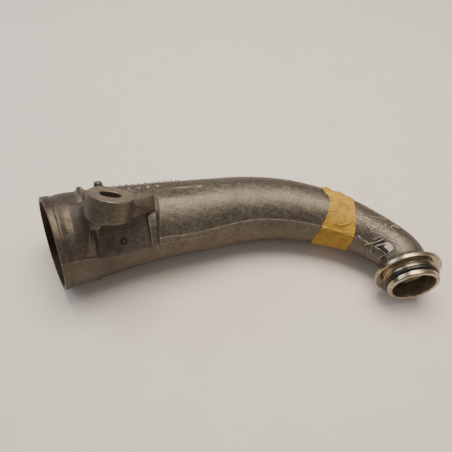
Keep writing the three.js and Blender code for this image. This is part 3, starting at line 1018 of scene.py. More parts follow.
@dataclass(frozen=True)
class Pipe:
    """Skin and duct of the cast pipe, as radii at a station and an angle.

    Attributes:
        radii: Stations and outer radii of the plain taper.
        wall: Thickness of the casting.
        gap: Clearance before the spigot's flange.
        mouth: Degrees by which the large end's face leans, the angle at which it is cut back furthest, the
            station where it crosses the centreline, and the length over which the lean dies out.
        collar: Stations where the dip behind the end collar starts, is deepest, and is over.
        valley: Depth of that dip.
        flare: Length and height by which the small end spreads.
        inner_flare: The same on the inside of the bend.
        seat: Radius and length of the seat for the spigot's tail.
        bore: Least radius of the duct.
        trim: How much smaller the large end is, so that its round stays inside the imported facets.
        unevenness: Height of the casting's waviness, which lies wholly below the plain skin.
    """

    radii: tuple[tuple[float, float], ...] = (
        (0.0, 48.6),
        (35.0, 46.4),
        (100.0, 41.4),
        (180.0, 37.4),
        (250.0, 33.5),
        (308.0, 28.2),
        (350.0, 24.2),
        (396.5, 22.8),
    )
    wall: float = 4.4
    gap: float = 0.3
    mouth: tuple[float, float, float, float] = (11.0, 128.0, -1.5, 30.0)
    collar: tuple[float, float, float] = (6.6, 9.5, 18.0)
    valley: float = 0.95
    flare: tuple[float, float] = (10.0, 2.2)
    inner_flare: tuple[float, float] = (24.0, 2.6)
    seat: tuple[float, float] = (21.2, 6.0)
    bore: float = 18.6
    trim: float = 0.22
    unevenness: float = 0.16
    recess: Recess = Recess()
    skin_ahead: OuterSkin = OuterSkin()
    seams: tuple[Seam, ...] = (
        Seam(((104.0, 152.0), (111.3, 152.4), (145.0, 153.6), (202.7, 149.3), (244.3, 149.7), (286.7, 151.2),
              (396.0, 152.0)), 0.6, 1.05, 0.35),
        Seam(((2.0, 155.5), (14.5, 156.0), (33.3, 157.6), (47.0, 162.7)), 0.6, 1.5, 0.4),
        Seam(((6.0, -29.0), (120.0, -27.0), (250.0, -30.0), (396.0, -29.0)), 0.5, 1.1, 0.2),
        Seam(((118.5, 78.5), (154.9, 80.0)), 0.4, 0.8),
    )
    pips: tuple[Pips, ...] = (
        Pips(68.8, 6.3, 11, 56.2, 2.3, 1.7),
        Pips(84.0, 9.0, 4, 69.2, 2.2, 1.3),
        Pips(34.3, 1.0, 1, -149.0, 3.2, 1.6),
    )

    @property
    def end(self) -> float:
        """Station of the small end's face."""
        return LINE.length - self.gap

    def plain(self, along: Array) -> Array:
        """Radius of the plain taper."""
        return curve_through(self.radii, along)

    def skin(self, along: Array, angle: Array) -> Array:
        """Outer radius: the taper less the collar's dip, with the recess cut in, and the thick skin,
        seams, pips, flare and waviness added.

        Args:
            along: Stations.
            angle: Angles in degrees.

        Returns:
            Radii.
        """
        plain = self.plain(along)
        start, deepest, over = self.collar
        radius = plain - self.valley * ramp(along, start, deepest) * ramp(along, over, deepest)
        radius = self.recess.cut(along, angle, radius)
        radius = radius + self.skin_ahead.height(along, np.asarray(angle) % 360.0)
        for feature in (*self.seams, *self.pips):
            radius = radius + feature.rise(along, angle, plain)
        radius = radius + self.flare[1] * ramp(along, self.end - self.flare[0], self.end) ** 1.3
        inside = bell(turned_from(angle, 180.0), 0.0, 80.0)
        radius = radius + self.inner_flare[1] * inside * ramp(along, self.end - self.inner_flare[0], self.end)
        spot = straightened(along, angle, plain)
        ends = ramp(along, 0.0, 12.0)
        rough = self.unevenness * ends * (waves(spot, 26.0, 3) + 0.35 * waves(spot, 8.0, 5) - 1.35)
        return radius + rough - self.trim * ramp(along, 16.0, 8.0)

    def lean(self, along: Array, angle: Array, radius: Array) -> Array:
        """How far the large end's lean moves a point along the pipe: the slope times its reach towards the
        side that is cut back, and the offset, both dying out evenly along the pipe."""
        lean, back, offset, fade = self.mouth
        reach = radius * np.cos(np.radians(turned_from(angle, back)))
        return (offset + math.tan(math.radians(lean)) * reach) * np.clip(1.0 - along / fade, 0.0, 1.0)

    def duct(self, along: Array, angle: Array) -> Array:
        """Inner radius: the taper less the wall, no less than the spigot's bore."""
        plain = self.plain(along)
        return self.recess.duct(along, angle, plain, np.maximum(plain - self.wall, self.bore))


PIPE = Pipe()


@dataclass(frozen=True)
class Tie:
    """One of the webs that tie the lug to the pipe: the hull of an arc on the lug and a foot on the pipe.

    Attributes:
        arc: Angles round the lug's axis.
        inset: How far the arc lies in from the lug's edge.
        depths: Two depths below the machined face.
        stations: Stations of the foot.
        angles: Angles of the foot round the pipe.
        rise: How far the foot stands out of the pipe.
        fillet: Width over which it runs into the lug.
    """

    arc: tuple[float, float]
    inset: float
    depths: tuple[float, float]
    stations: tuple[float, float]
    angles: tuple[float, float]
    rise: float
    fillet: float


@dataclass(frozen=True)
class Lug:
    """Slotted mounting lug with its ties, and the fin and the peg beside it, as one distance field.

    Attributes:
        station: Station of its machined face's middle.
        outward: How far that lies outward of the centreline.
        up: How far that lies above it.
        axis: Direction it faces: forward, outward and up at its station.
        radius: Radius of the lug.
        thick: Its thickness.
        slot: Length and width of its slot.
        chamfer: Chamfer of the slot and the lug's edge.
        bolt: Radius kept free under it.
        ties: Its arm, gusset and pedestal.
        fin: Station, thickness, height, angle of its peak, and degrees to where it ends.
        peg: Station, angle, radius and height.
        fillet: Width of the fillet into the pipe.
        wider: How much wider the fillet gets, between two stations.
        spread: How far from the lug the fillet may reach.
        sunk: How far the field's pipe lies below the real one, which the shell makes.
        buried: How far the lug's solid goes below the pipe's skin.
        room: Opposite corners of the box that holds it, in its own frame.
        step: Cell size of its surface.
    """

    station: float = 66.4
    outward: float = -22.4
    up: float = 75.0
    axis: tuple[float, float, float] = (0.33, 0.4, 0.855)
    radius: float = 19.8
    thick: float = 22.0
    slot: tuple[float, float] = (18.8, 14.2)
    chamfer: float = 0.9
    bolt: float = 12.5
    ties: tuple[Tie, ...] = (
        Tie((-70.0, 60.0), 3.0, (3.0, 20.0), (94.0, 105.0), (90.0, 114.0), 0.4, 3.0),
        Tie((130.0, 250.0), 2.0, (5.0, 21.0), (36.0, 47.0), (96.0, 146.0), 0.4, 6.0),
        Tie((20.0, 160.0), 3.0, (6.0, 21.0), (52.0, 90.0), (72.0, 98.0), 0.0, 5.0),
    )
    fin: tuple[float, float, float, float, float] = (37.0, 4.6, 5.5, 62.0, 36.0)
    peg: tuple[float, float, float, float] = (55.5, 56.0, 4.4, 7.5)
    fillet: float = 1.5
    wider: tuple[tuple[float, float, float], ...] = ((13.5, 46.5, 41.0), (2.0, 88.0, 96.0))
    spread: float = 12.5
    sunk: float = 0.35
    buried: float = 2.2
    room: tuple[tuple[float, float, float], ...] = ((-48.0, -24.0, -66.0), (56.0, 84.0, 1.2))
    step: float = 0.8

    def frame(self) -> tuple[Array, Array]:
        """Middle of the machined face, and the rows of a matrix whose axes lie along the lug, across it
        and out of its face."""
        middle = LINE.carry(np.array(self.station), self.outward, self.up)
        _, heading = LINE.at(np.array(self.station))
        forward = np.array([math.cos(heading), math.sin(heading), 0.0])
        side = np.array([-forward[1], forward[0], 0.0])
        ahead, out, rise = self.axis
        axis = ahead * forward + out * side + rise * np.array([0.0, 0.0, 1.0])
        axis /= np.linalg.norm(axis)
        long = forward - forward.dot(axis) * axis
        long /= np.linalg.norm(long)
        return middle, np.array([long, np.cross(axis, long), axis])

    def tie_planes(self, tie: Tie) -> tuple[Array, Array]:
        """Planes of a tie's hull, in the lug's frame."""
        middle, turn = self.frame()
        round_ = np.radians(np.linspace(*tie.arc, 7))
        edge = self.radius - tie.inset
        x, y = edge * np.cos(round_), edge * np.sin(round_)
        arc = [np.stack([x, y, 0 * x - depth], -1) for depth in tie.depths]
        along, angle = (a.ravel() for a in np.meshgrid(tie.stations, np.linspace(*tie.angles, 3)))
        feet = [LINE.around(along, angle, PIPE.plain(along) + out) for out in (-0.5 * PIPE.wall, tie.rise)]
        return hull_planes(np.vstack([*arc, *[(foot - middle) @ turn.T for foot in feet]]))

    def body(self, spot: Array) -> Array:
        """The lug and its ties, clear of the bolt's room: the lesser of a cylinder and three hulls,
        rounded where they meet.

        Args:
            spot: Points in the lug's frame.

        Returns:
            Distance from the surface, below zero inside.
        """
        depth, away = -spot[:, 2], np.hypot(spot[:, 0], spot[:, 1])
        solid = greater(away - self.radius, depth - self.thick, 3.0)
        for tie in self.ties:
            hull = np.full(len(spot), -1e3)
            for normal, level in zip(*self.tie_planes(tie)):
                hull = greater(hull, spot @ normal - level, 0.8)
            solid = lesser(solid, hull, tie.fillet)
        return greater(solid, np.minimum(self.bolt - away, depth - self.thick), 1.5)

    def small_features(self, along: Array, angle: Array, out: Array, radius: Array) -> Array:
        """The fin, which is highest at its peak and falls to either side, and the peg with its round top.

        Args:
            along: Stations.
            angle: Angles in degrees.
            out: How far the points lie out of the pipe's plain taper.
            radius: The taper's radius there.

        Returns:
            Distance from the surface, below zero inside.
        """
        station, thick, height, peak, reach = self.fin
        rise = height * (1.0 - np.abs(turned_from(angle, peak)) / reach)
        fin = greater(np.abs(along - station) - 0.5 * thick + 0.12 * out, out - rise, 1.0)
        station, angle_at, wide, tall = self.peg
        away = np.hypot(along - station, np.radians(turned_from(angle, angle_at)) * radius)
        peg = greater(away - wide + 0.07 * out, out - tall, 2.2)
        return np.minimum(fin, peg)

    def field(self, spot: Array) -> Array:
        """The lug's distance field with its fillets into the pipe, cut to the part that stands out of the
        pipe's wall and a little below it.

        Args:
            spot: Points in the lug's frame.

        Returns:
            Distance from the surface, below zero inside.
        """
        middle, turn = self.frame()
        along, angle, radius = LINE.unroll(spot @ turn + middle)
        skin, plain = PIPE.skin(along, angle), PIPE.plain(along)
        body = self.body(spot)
        small = self.small_features(along, angle, radius - plain, plain)
        sunk = self.sunk + 1.3 * PIPE.recess.beside_wall(along, angle)
        pipe = radius - skin + sunk
        width = self.fillet + sum(more * ramp(along, start, end) for more, start, end in self.wider)
        solid = lesser(lesser(body, pipe, width), lesser(small, pipe, 6.0), 0.5)
        solid = np.maximum(solid, np.minimum(body, small) - self.spread)
        solid = np.maximum(solid, skin - radius - self.buried)
        return self.machined(spot, solid)

    def machined(self, spot: Array, solid: Array) -> Array:
        """Cuts the flat face and the slot with its chamfer, which is a cone of 45 degrees."""
        depth = -spot[:, 2]
        half = 0.5 * (self.slot[0] - self.slot[1])
        beside = np.hypot(np.maximum(np.abs(spot[:, 0]) - half, 0.0), spot[:, 1])
        slot = 0.5 * self.slot[1] - beside
        slot = np.maximum(slot, (0.5 * self.slot[1] + self.chamfer - depth - beside) * math.sqrt(0.5))
        solid = np.maximum(solid, np.minimum(slot, 30.0 - depth))
        edge = (np.hypot(spot[:, 0], spot[:, 1]) - self.radius + 0.5 * self.chamfer - depth) * math.sqrt(0.5)
        return np.maximum(np.maximum(solid, -depth), np.where(depth < self.chamfer, edge, -1e3))

    def surface(self) -> tuple[Array, Array]:
        """Points in the pipe's frame and faces of the lug's closed surface."""
        middle, turn = self.frame()
        low, high = np.array(self.room)
        points, faces = surface_of(self.field, low, high, self.step)
        return points @ turn + middle, faces


class Side(Enum):
    """The casting's material slots."""

    CAST = 0
    FACED = 1


@dataclass(frozen=True)
class Casting:
    """Cast pipe elbow with its lug.

    Attributes:
        lug: The lug and the features beside it.
        rim: Rounding of the large end's edges and of the small end's.
        ink: Station and angle of the marker's ring.
        spacing: Stations up to which the rows have a spacing.
        fine: First and last angle and spacing of the parts whose columns stand close together.
        coarse: Spacing of the other columns, in degrees.
        drawn: Angle of the column that follows the main seam, and degrees over which others give way.
        sooted: Stations between which soot fades in towards the large end.
        underside: Angle where the painted shade under the pipe starts.
    """

    lug: Lug = Lug()
    rim: tuple[float, float] = (0.9, 0.6)
    ink: tuple[float, float] = (68.5, 149.0)
    spacing: tuple[tuple[float, float], ...] = ((108.0, 0.8), (170.0, 1.1), (386.0, 2.5), (400.0, 1.0))
    fine: tuple[tuple[float, float, float], ...] = ((40.0, 172.0, 1.0), (327.0, 335.0, 1.0))
    coarse: float = 3.4
    drawn: tuple[float, float] = (151.0, 40.0)
    sooted: tuple[float, float] = (120.0, 6.0)
    underside: float = 155.0

    def stations(self) -> Array:
        """Stations of the rows on the skin, from one rim to the other."""
        start, stop = self.rim[0], PIPE.end - self.rim[1]
        parts = []
        for until, step in self.spacing:
            until = min(until, stop)
            parts.append(np.linspace(start, until, max(2, round((until - start) / step)), endpoint=False))
            start = until
        return np.concatenate([*parts, [stop]])

    def section(self) -> tuple[Array, Array, Array]:
        """Rows of the closed section: along the skin, over the small end's face, up the seat, back through
        the duct and over the large end's face.

        Returns:
            Stations (R,), shares of skin, seat and duct (R, 3), and how far each row is moved out (R,).
        """
        quarter = np.radians(np.linspace(0.0, 90.0, 5))
        large, small = self.rim
        seat_start = PIPE.end - PIPE.seat[1]
        face = np.linspace(0.2, 1.0, 4)
        mouth = np.linspace(0.8, 0.2, 3)
        duct = np.linspace(seat_start - 1.0, large, 42)
        skin = self.stations()
        parts = [
            (large * (1 - np.sin(quarter[:0:-1])), (1, 0, 0), -large * (1 - np.cos(quarter[:0:-1]))),
            (skin, (1, 0, 0), 0 * skin),
            (PIPE.end - small * (1 - np.sin(quarter[1:])), (1, 0, 0), -small * (1 - np.cos(quarter[1:]))),
            (PIPE.end + 0 * face, np.stack([1 - face, face, 0 * face], -1), -small * (1 - face)),
            (np.linspace(PIPE.end - 0.8, seat_start, 5), (0, 1, 0), np.zeros(5)),
            (seat_start + np.zeros(2), np.array([[0, 0.5, 0.5], [0, 0, 1]]), np.zeros(2)),
            (duct, (0, 0, 1), 0 * duct),
            (large * (1 - np.sin(quarter[1:])), (0, 0, 1), large * (1 - np.cos(quarter[1:]))),
            (0 * mouth, np.stack([1 - mouth, 0 * mouth, mouth], -1), large * (2 * mouth - 1)),
        ]
        along = np.concatenate([part[0] for part in parts])
        shares = np.vstack([np.broadcast_to(part[1], (len(part[0]), 3)) for part in parts])
        return along, shares, np.concatenate([part[2] for part in parts])

    def shell(self) -> tuple[Array, Array]:
        """Points and faces of the hollow pipe: the section's rows carried round it, with the columns drawn
        to the main seam so that one of them runs along its ridge."""
        along, shares, moved = self.section()
        along, moved = along[:, None], moved[:, None]
        angle = angles_round(self.fine, self.coarse)[None, :]
        middle, reach = self.drawn
        angle = angle + (PIPE.seams[0].at(along) - middle) * bell(turned_from(angle, middle), 0.0, reach)
        skins = [PIPE.skin(along, angle), PIPE.seat[0] + 0 * angle * along, PIPE.duct(along, angle)]
        radius = sum(shares[:, i, None] * skins[i] for i in range(3)) + moved
        points = LINE.around(along + PIPE.lean(along, angle, radius), angle, radius)
        return points.reshape(-1, 3), grid_faces(*radius.shape, closed=True)

    def dress(self, mesh: bpy.types.Mesh, ring_middle: Array) -> None:
        """Gives the mesh its two finishes and the attributes that they read: worn on sharp outer edges, sooty
        near the large end, and darkened underneath as painted shade.

        Args:
            mesh: The casting's mesh.
            ring_middle: Middle of the rubber ring in the pipe's frame.
        """
        spots = REST.lift(points_of(mesh), ring_middle)
        along, angle, radius = LINE.unroll(spots)
        uneven = waves(spots, 14.0, 11)
        attach(mesh, "worn", np.clip(2.6 * outcurve(mesh) - 0.25 + 0.12 * uneven, 0.0, 1.0) * 0.8)
        in_duct = (radius < PIPE.duct(along, angle) + 0.7).astype(float)
        attach(mesh, "inside", in_duct * ramp(along, PIPE.end, PIPE.end - 16.0))
        # painted shade: the angles under the pipe, turned away from the light, are darkened through the soot
        # share
        under = turned_from(angle, self.underside)
        below = ramp(under, 0.0, 25.0) * ramp(under, 130.0, 90.0)
        attach(mesh, "soot_and_underside_shade", np.clip(0.85 * ramp(along, *self.sooted) + 0.5 * below + 0.2 * uneven, 0.0, 1.0))
        at = [np.array([value]) for value in self.ink]
        spot = LINE.around(*at, PIPE.skin(*at))
        middle = tuple(float(v) for v in REST.place(spot, ring_middle)[0])
        mesh.materials.clear()
        mesh.materials.append(CastAluminium(ink_middle=middle).material())
        mesh.materials.append(FacedAluminium().material())
        centre, turn = self.lug.frame()
        faces = np.empty(len(mesh.polygons) * 3, np.float32)
        mesh.polygons.foreach_get("center", faces)
        at_face = (REST.lift(faces.reshape(-1, 3).astype(float), ring_middle) - centre) @ turn.T
        faced = (np.abs(at_face[:, 2]) < 0.25) & (np.hypot(at_face[:, 0], at_face[:, 1]) < self.lug.radius)
        kind = np.where(faced, Side.FACED.value, Side.CAST.value).astype(np.int32)
        mesh.polygons.foreach_set("material_index", kind)

    def build(self, ring_middle: Array) -> bpy.types.Object:
        """Builds the casting as one closed mesh.

        Args:
            ring_middle: Middle of the rubber ring in the pipe's frame.

        Returns:
            The piece.
        """
        shell_points, shell_faces = self.shell()
        shell = mesh_of("shell", REST.place(shell_points, ring_middle), shell_faces)
        lug_points, lug_faces = self.lug.surface()
        lug = mesh_of("lug", REST.place(lug_points, ring_middle), lug_faces)
        mesh = united(shell, lug, "cast_pipe_elbow")
        self.dress(mesh, ring_middle)
        return piece_of(mesh, 34.0)


def outcurve(mesh: bpy.types.Mesh) -> Array:
    """How sharply each point of a mesh stands out: how far it lies above the mean of its neighbours along
    its normal, over their mean distance.

    Args:
        mesh: The mesh.

    Returns:
        A number per point, above zero on outer edges.
    """
    points = points_of(mesh)
    count = len(points)
    flat = np.empty(count * 3, np.float32)
    mesh.vertices.foreach_get("normal", flat)
    edges = np.empty(len(mesh.edges) * 2, np.int32)
    mesh.edges.foreach_get("vertices", edges)
    start, end = edges.reshape(-1, 2).T
    step = points[end] - points[start]
    length = np.linalg.norm(step, axis=1)
    here, there = np.concatenate([start, end]), np.concatenate([end, start])
    step, length = np.vstack([step, -step]), np.concatenate([length, length])
    above = -np.einsum("ij,ij->i", step, flat.reshape(-1, 3)[here])
    total, reach = np.bincount(here, above, count), np.bincount(here, length, count)
    return total / np.maximum(reach, 1e-9)


# ---- Turned pieces -------------------------------------------------------------------------------------


def turned_surface(profile: Array, columns: int) -> tuple[Array, Array]:
    """A closed profile of station and radius carried round the centreline, without its bend.

    Args:
        profile: Points (R, 2).
        columns: How many points each turn has.

    Returns:
        Points (R x columns, 3) in the pipe's frame, and faces.
    """
    angle = np.linspace(0.0, 360.0, columns, endpoint=False)[None, :]
    points = LINE.around(profile[:, :1] + 0 * angle, angle, profile[:, 1:])
    return points.reshape(-1, 3), grid_faces(len(profile), columns, closed=True)


def rounded(corners: Sequence[tuple[float, float, float]], step: float = 1.0) -> Array:
    """A closed outline with round corners: at each corner a quadratic curve that starts and ends its
    radius away, and between the corners straight runs of short steps.

    Args:
        corners: Station, radius and rounding of each corner.
        step: Longest step of the straight runs.

    Returns:
        Points (R, 2).
    """
    corner = np.asarray(corners, float)
    t = np.linspace(0.0, 1.0, 6)[:, None]
    line = []
    for here, before, after in zip(corner, np.roll(corner, 1, 0), np.roll(corner, -1, 0)):
        back, on = before[:2] - here[:2], after[:2] - here[:2]
        back, on = back / np.linalg.norm(back), on / np.linalg.norm(on)
        a, b, c = here[:2] + here[2] * back, here[:2], here[:2] + here[2] * on
        line.append((1 - t) ** 2 * a + 2 * t * (1 - t) * b + t**2 * c)
    parts = []
    for part, onward in zip(line, line[1:] + line[:1]):
        gap = onward[0] - part[-1]
        count = max(1, math.ceil(np.linalg.norm(gap) / step))
        parts += [part, part[-1] + gap * np.linspace(0.0, 1.0, count + 1)[1:-1, None]]
    return np.vstack(parts)


@dataclass(frozen=True)
class Spigot:
    """Turned sleeve pressed into the small end, measured back from its nose face.

    Attributes:
        nose: Radius and length of the nose.
        groove: Length and floor radius of the ring's groove.
        neck: Radius of the neck.
        flange: Front and back of the flange, and its radius.
        bore: Radius and depth of the wider bore.
        tail: Length, radius and bore of the part pressed into the casting.
    """

    nose: tuple[float, float] = (25.0, 5.4)
    groove: tuple[float, float] = (4.6, 22.6)
    neck: float = 24.4
    flange: tuple[float, float, float] = (15.1, 19.6, 32.65)
    bore: tuple[float, float] = (21.0, 17.0)
    tail: tuple[float, float, float] = (6.0, 20.9, 18.6)

    @property
    def face(self) -> float:
        """Station of the nose face."""
        return LINE.length + self.flange[1]

    @property
    def ring_station(self) -> float:
        """Station of the groove's middle."""
        return self.face - self.nose[1] - 0.5 * self.groove[0]

    def outline(self) -> Array:
        """The sleeve's closed section, with its worn and rounded edges."""
        groove_end = self.nose[1] + self.groove[0]
        front, back, wide = self.flange
        tail_end = back + self.tail[0]
        corners = (
            (0.0, self.bore[0], 1.0),
            (self.bore[1], self.bore[0] - 0.4, 0.6),
            (back, self.tail[2], 0.6),
            (tail_end, self.tail[2], 0.3),
            (tail_end, self.tail[1], 0.4),
            (back, self.tail[1], 0.2),
            (back, wide, 0.8),
            (front, wide, 1.1),
            (front, self.neck, 0.7),
            (groove_end, self.neck, 0.35),
            (groove_end, self.groove[1], 0.3),
            (self.nose[1], self.groove[1], 0.3),
            (self.nose[1], self.nose[0], 0.9),
            (0.0, self.nose[0], 1.7),
        )
        return rounded([(self.face - place, radius, edge) for place, radius, edge in corners], 0.9)

    def build(self, ring_middle: Array) -> bpy.types.Object:
        """Builds the sleeve."""
        outline = self.outline()
        points, faces = turned_surface(outline, 192)
        mesh = mesh_of("turned_spigot", REST.place(points, ring_middle), faces)
        run = np.linalg.norm(np.diff(outline, axis=0, prepend=outline[-1:]), axis=1)
        attach(mesh, "turning", np.repeat(np.cumsum(run), 192))
        attach(mesh, "bored", np.repeat((outline[:, 1] < self.bore[0] + 0.2).astype(float), 192))
        mesh.materials.append(TurnedAluminium().material())
        return piece_of(mesh, 40.0)


@dataclass(frozen=True)
class SealRing:
    """Rubber ring that fills the spigot's groove.

    Attributes:
        radius: Radius of its section's middle.
        half: Half its width along the spigot and across it.
        square: Power of the section's outline; 2 is an ellipse and more is squarer.
    """

    radius: float = 24.7
    half: tuple[float, float] = (2.24, 1.85)
    square: float = 2.6

    def build(self, station: float, ring_middle: Array) -> bpy.types.Object:
        """Builds the ring: its section's sine and cosine are raised to 2 over the power, keeping their
        signs.

        Args:
            station: Station of the section's middle.
            ring_middle: Middle of the ring in the pipe's frame.

        Returns:
            The piece.
        """
        turn = np.linspace(0.0, 2.0 * np.pi, 28, endpoint=False)
        along, out = (np.sign(w) * np.abs(w) ** (2.0 / self.square) for w in (np.cos(turn), np.sin(turn)))
        outline = np.stack([station + self.half[0] * along, self.radius + self.half[1] * out], -1)
        points, faces = turned_surface(outline, 160)
        mesh = mesh_of("rubber_seal_ring", REST.place(points, ring_middle), faces)
        mesh.materials.append(MouldedRubber().material())
        return piece_of(mesh, 60.0)


# ---- Tapes ---------------------------------------------------------------------------------------------


def edge_at(path: Sequence[tuple[float, float]], angle: Array) -> Array:
    """Station of a tape's edge at an angle: a smooth closed curve through points (angle, station)."""
    points = [(a - 360.0, s) for a, s in path] + list(path) + [(a + 360.0, s) for a, s in path]
    return curve_through(points, np.asarray(angle) % 360.0)


@dataclass(frozen=True)
class Crease:
    """Fold of a tape: a ridge along a line of points (station, angle).

    Attributes:
        path: The line's points.
        height: Height of the ridge.
        half: Half its width.
    """

    path: tuple[tuple[float, float], ...]
    height: float = 0.8
    half: float = 1.2

    def rise(self, along: Array, angle: Array, radius: Array) -> Array:
        """Height of the fold: a hump over the distance to the nearest piece of its line."""
        away = np.full(np.broadcast(along, angle).shape, np.inf)
        for (s0, a0), (s1, a1) in zip(self.path, self.path[1:]):
            x, y = along - s0, np.radians(turned_from(angle, a0)) * radius
            dx, dy = s1 - s0, np.radians(turned_from(np.array(a1), a0)) * radius
            t = np.clip((x * dx + y * dy) / (dx * dx + dy * dy), 0.0, 1.0)
            away = np.minimum(away, np.hypot(x - t * dx, y - t * dy))
        return self.height * bell(away, 0.0, self.half)


def ring_of(station: float, angle: float, radii: tuple[float, float]) -> tuple[tuple[float, float], ...]:
    """Points (station, angle) of an oval: half its length along the pipe and half its height in degrees."""
    turn = np.linspace(0.0, 2.0 * np.pi, 13)
    return tuple(zip(station + radii[0] * np.cos(turn), angle + radii[1] * np.sin(turn)))


@dataclass(frozen=True)
class Tape:
    """A strip wound round the pipe.

    Attributes:
        name: Name of the piece.
        left: Angle and station of points of the edge nearer the large end.
        right: The same for the other edge.
        gap: How far its underside lies off the pipe.
        thick: Thickness of what is wound.
        rows: Rows from edge to edge.
        ragged: How far its edges wander.
        creases: Its folds.
        fine: First and last angle and spacing of the part whose columns stand close together.
        coarse: Spacing of the other columns, in degrees.
        pipe: Radius of the pipe there, near enough for the pattern of its torn edges.
    """

    name: str
    left: tuple[tuple[float, float], ...]
    right: tuple[tuple[float, float], ...]
    gap: float
    thick: float
    rows: int
    ragged: float = 0.45
    creases: tuple[Crease, ...] = ()
    fine: tuple[float, float, float] = (50.0, 200.0, 0.6)
    coarse: float = 2.0
    pipe: float = 28.0

    def lay(self) -> tuple[Array, Array, Array]:
        """Stations, angles and radii (rows, columns) of the strip's underside, folds left out."""
        angle = angles_round((self.fine,), self.coarse)[None, :]
        share = np.linspace(0.0, 1.0, self.rows)[:, None]
        tear = [waves(straightened(place, angle, self.pipe), 5.0, 41) for place in (0.0, 60.0)]
        left = edge_at(self.left, angle) + self.ragged * tear[0]
        right = edge_at(self.right, angle) + 0.5 * self.ragged * tear[1]
        along = left + share * (right - left)
        angle = np.broadcast_to(angle, along.shape)
        return along, angle, PIPE.skin(along, angle) + self.gap

    def folds(self, along: Array, angle: Array, radius: Array) -> Array:
        """Height of the highest fold at each point."""
        heights = [crease.rise(along, angle, radius) for crease in self.creases]
        return np.max(heights, axis=0) if heights else 0.0 * along

    def closed(self, along: Array, angle: Array, under: Array, over: Array) -> tuple[Array, Array]:
        """Points in the pipe's frame and faces of the closed band between two radii."""
        rows = np.concatenate([over, under[::-1]])
        along, angle = np.concatenate([along, along[::-1]]), np.concatenate([angle, angle[::-1]])
        return LINE.around(along, angle, rows).reshape(-1, 3), grid_faces(*rows.shape, closed=True)

    def finished(
        self, points: Array, faces: Array, marks: dict[str, Array], finish: Finish, sharp: float
    ) -> bpy.types.Object:
        """Builds the strip's piece.

        Args:
            points: Its points where it lies, from closed().
            faces: Its faces.
            marks: Values (rows, columns, ...) of its attributes, the same on both sides.
            finish: Its finish.
            sharp: Angle between faces, in degrees, above which an edge is sharp.

        Returns:
            The piece.
        """
        mesh = mesh_of(self.name, points, faces)
        for mark, values in marks.items():
            attach(mesh, mark, np.concatenate([values, values[::-1]]).reshape(-1, *values.shape[2:]))
        mesh.materials.append(finish.material())
        return piece_of(mesh, sharp)


@dataclass(frozen=True)
class PaperTape(Tape):
    """Creped paper tape: wrinkled, doubled on the outside of the bend, and torn there.

    Attributes:
        doubled: Angles between which a second layer lies.
        second: Height of that layer.
    """

    name: str = "paper_tape_strip"
    left: tuple[tuple[float, float], ...] = (
        (0.0, 283.0),
        (40.0, 281.0),
        (67.0, 280.7),
        (98.0, 290.0),
        (147.0, 289.4),
        (193.0, 282.8),
        (250.0, 284.0),
        (310.0, 285.0),
    )
    right: tuple[tuple[float, float], ...] = (
        (0.0, 312.0),
        (63.0, 313.0),
        (97.0, 318.0),
        (145.0, 327.9),
        (187.0, 327.3),
        (250.0, 322.0),
        (310.0, 315.0),
    )
    gap: float = 0.25
    thick: float = 0.5
    rows: int = 56
    creases: tuple[Crease, ...] = (
        Crease(((301.0, 138.0), (310.7, 139.0), (318.0, 127.0)), 0.9, 1.3),
        Crease(((296.0, 158.0), (310.0, 152.0), (325.0, 146.0)), 0.5, 1.8),
        Crease(((292.0, 153.0), (294.5, 153.0)), 1.2, 2.0),
        Crease(((291.0, 118.0), (300.0, 112.0), (311.0, 114.0)), 0.35, 1.4),
        Crease(((304.0, 92.0), (313.0, 98.0)), 0.45, 1.3),
        Crease(((287.0, 172.0), (300.0, 176.0), (321.0, 171.0)), 0.4, 1.6),
        Crease(((290.0, 78.0), (302.0, 70.0), (309.0, 58.0)), 0.5, 1.4),
        Crease(((283.0, 70.0), (288.0, 84.0), (291.5, 98.0)), 0.8, 0.9),
        Crease(((283.5, 58.0), (286.0, 63.0), (288.5, 66.0)), 2.4, 1.5),
        Crease(((296.0, 60.0), (299.0, 65.0), (303.0, 66.0)), 2.1, 1.4),
        Crease(((302.0, 133.0), (306.0, 139.5), (311.0, 137.0), (317.0, 130.0)), 1.3, 0.8),
    )
    doubled: tuple[float, float] = (30.0, 94.0)
    second: float = 0.5

    def build(self, ring_middle: Array) -> bpy.types.Object:
        """Builds the strip with its folds, its second layer and its waviness."""
        along, angle, under = self.lay()
        plain = PIPE.plain(along)
        spot = straightened(along, angle, plain)
        ragged = 3.0 * waves(spot, 5.0, 21)
        layer = ramp(angle, self.doubled[0] + ragged - 1.0, self.doubled[0] + ragged + 1.0)
        layer = layer * ramp(angle, self.doubled[1] + ragged + 1.0, self.doubled[1] + ragged - 1.0)
        folds = self.folds(along, angle, plain)
        over = under + self.thick + folds + self.second * layer + 0.1 * waves(spot, 7.0, 23)
        points, faces = self.closed(along, angle, under + 0.6 * folds, over)
        spread = np.stack([along, np.radians(angle) * plain, 0.0 * along], -1)
        damp = 0.35 * (1.0 - layer) * ramp(waves(spot, 12.0, 25), 0.2, 1.4)
        # painted shade: past angles 150 to 158 the strip turns away from the light and is darkened; the damp
        # blotches are glue
        glue_and_underside_shade = np.clip(0.5 * ramp(angle, 150.0, 158.0) + damp, 0.0, 0.8)
        marks = {"spread": spread, "glue_and_underside_shade": glue_and_underside_shade}
        return self.finished(REST.place(points, ring_middle), faces, marks, CrepedPaper(), 50.0)


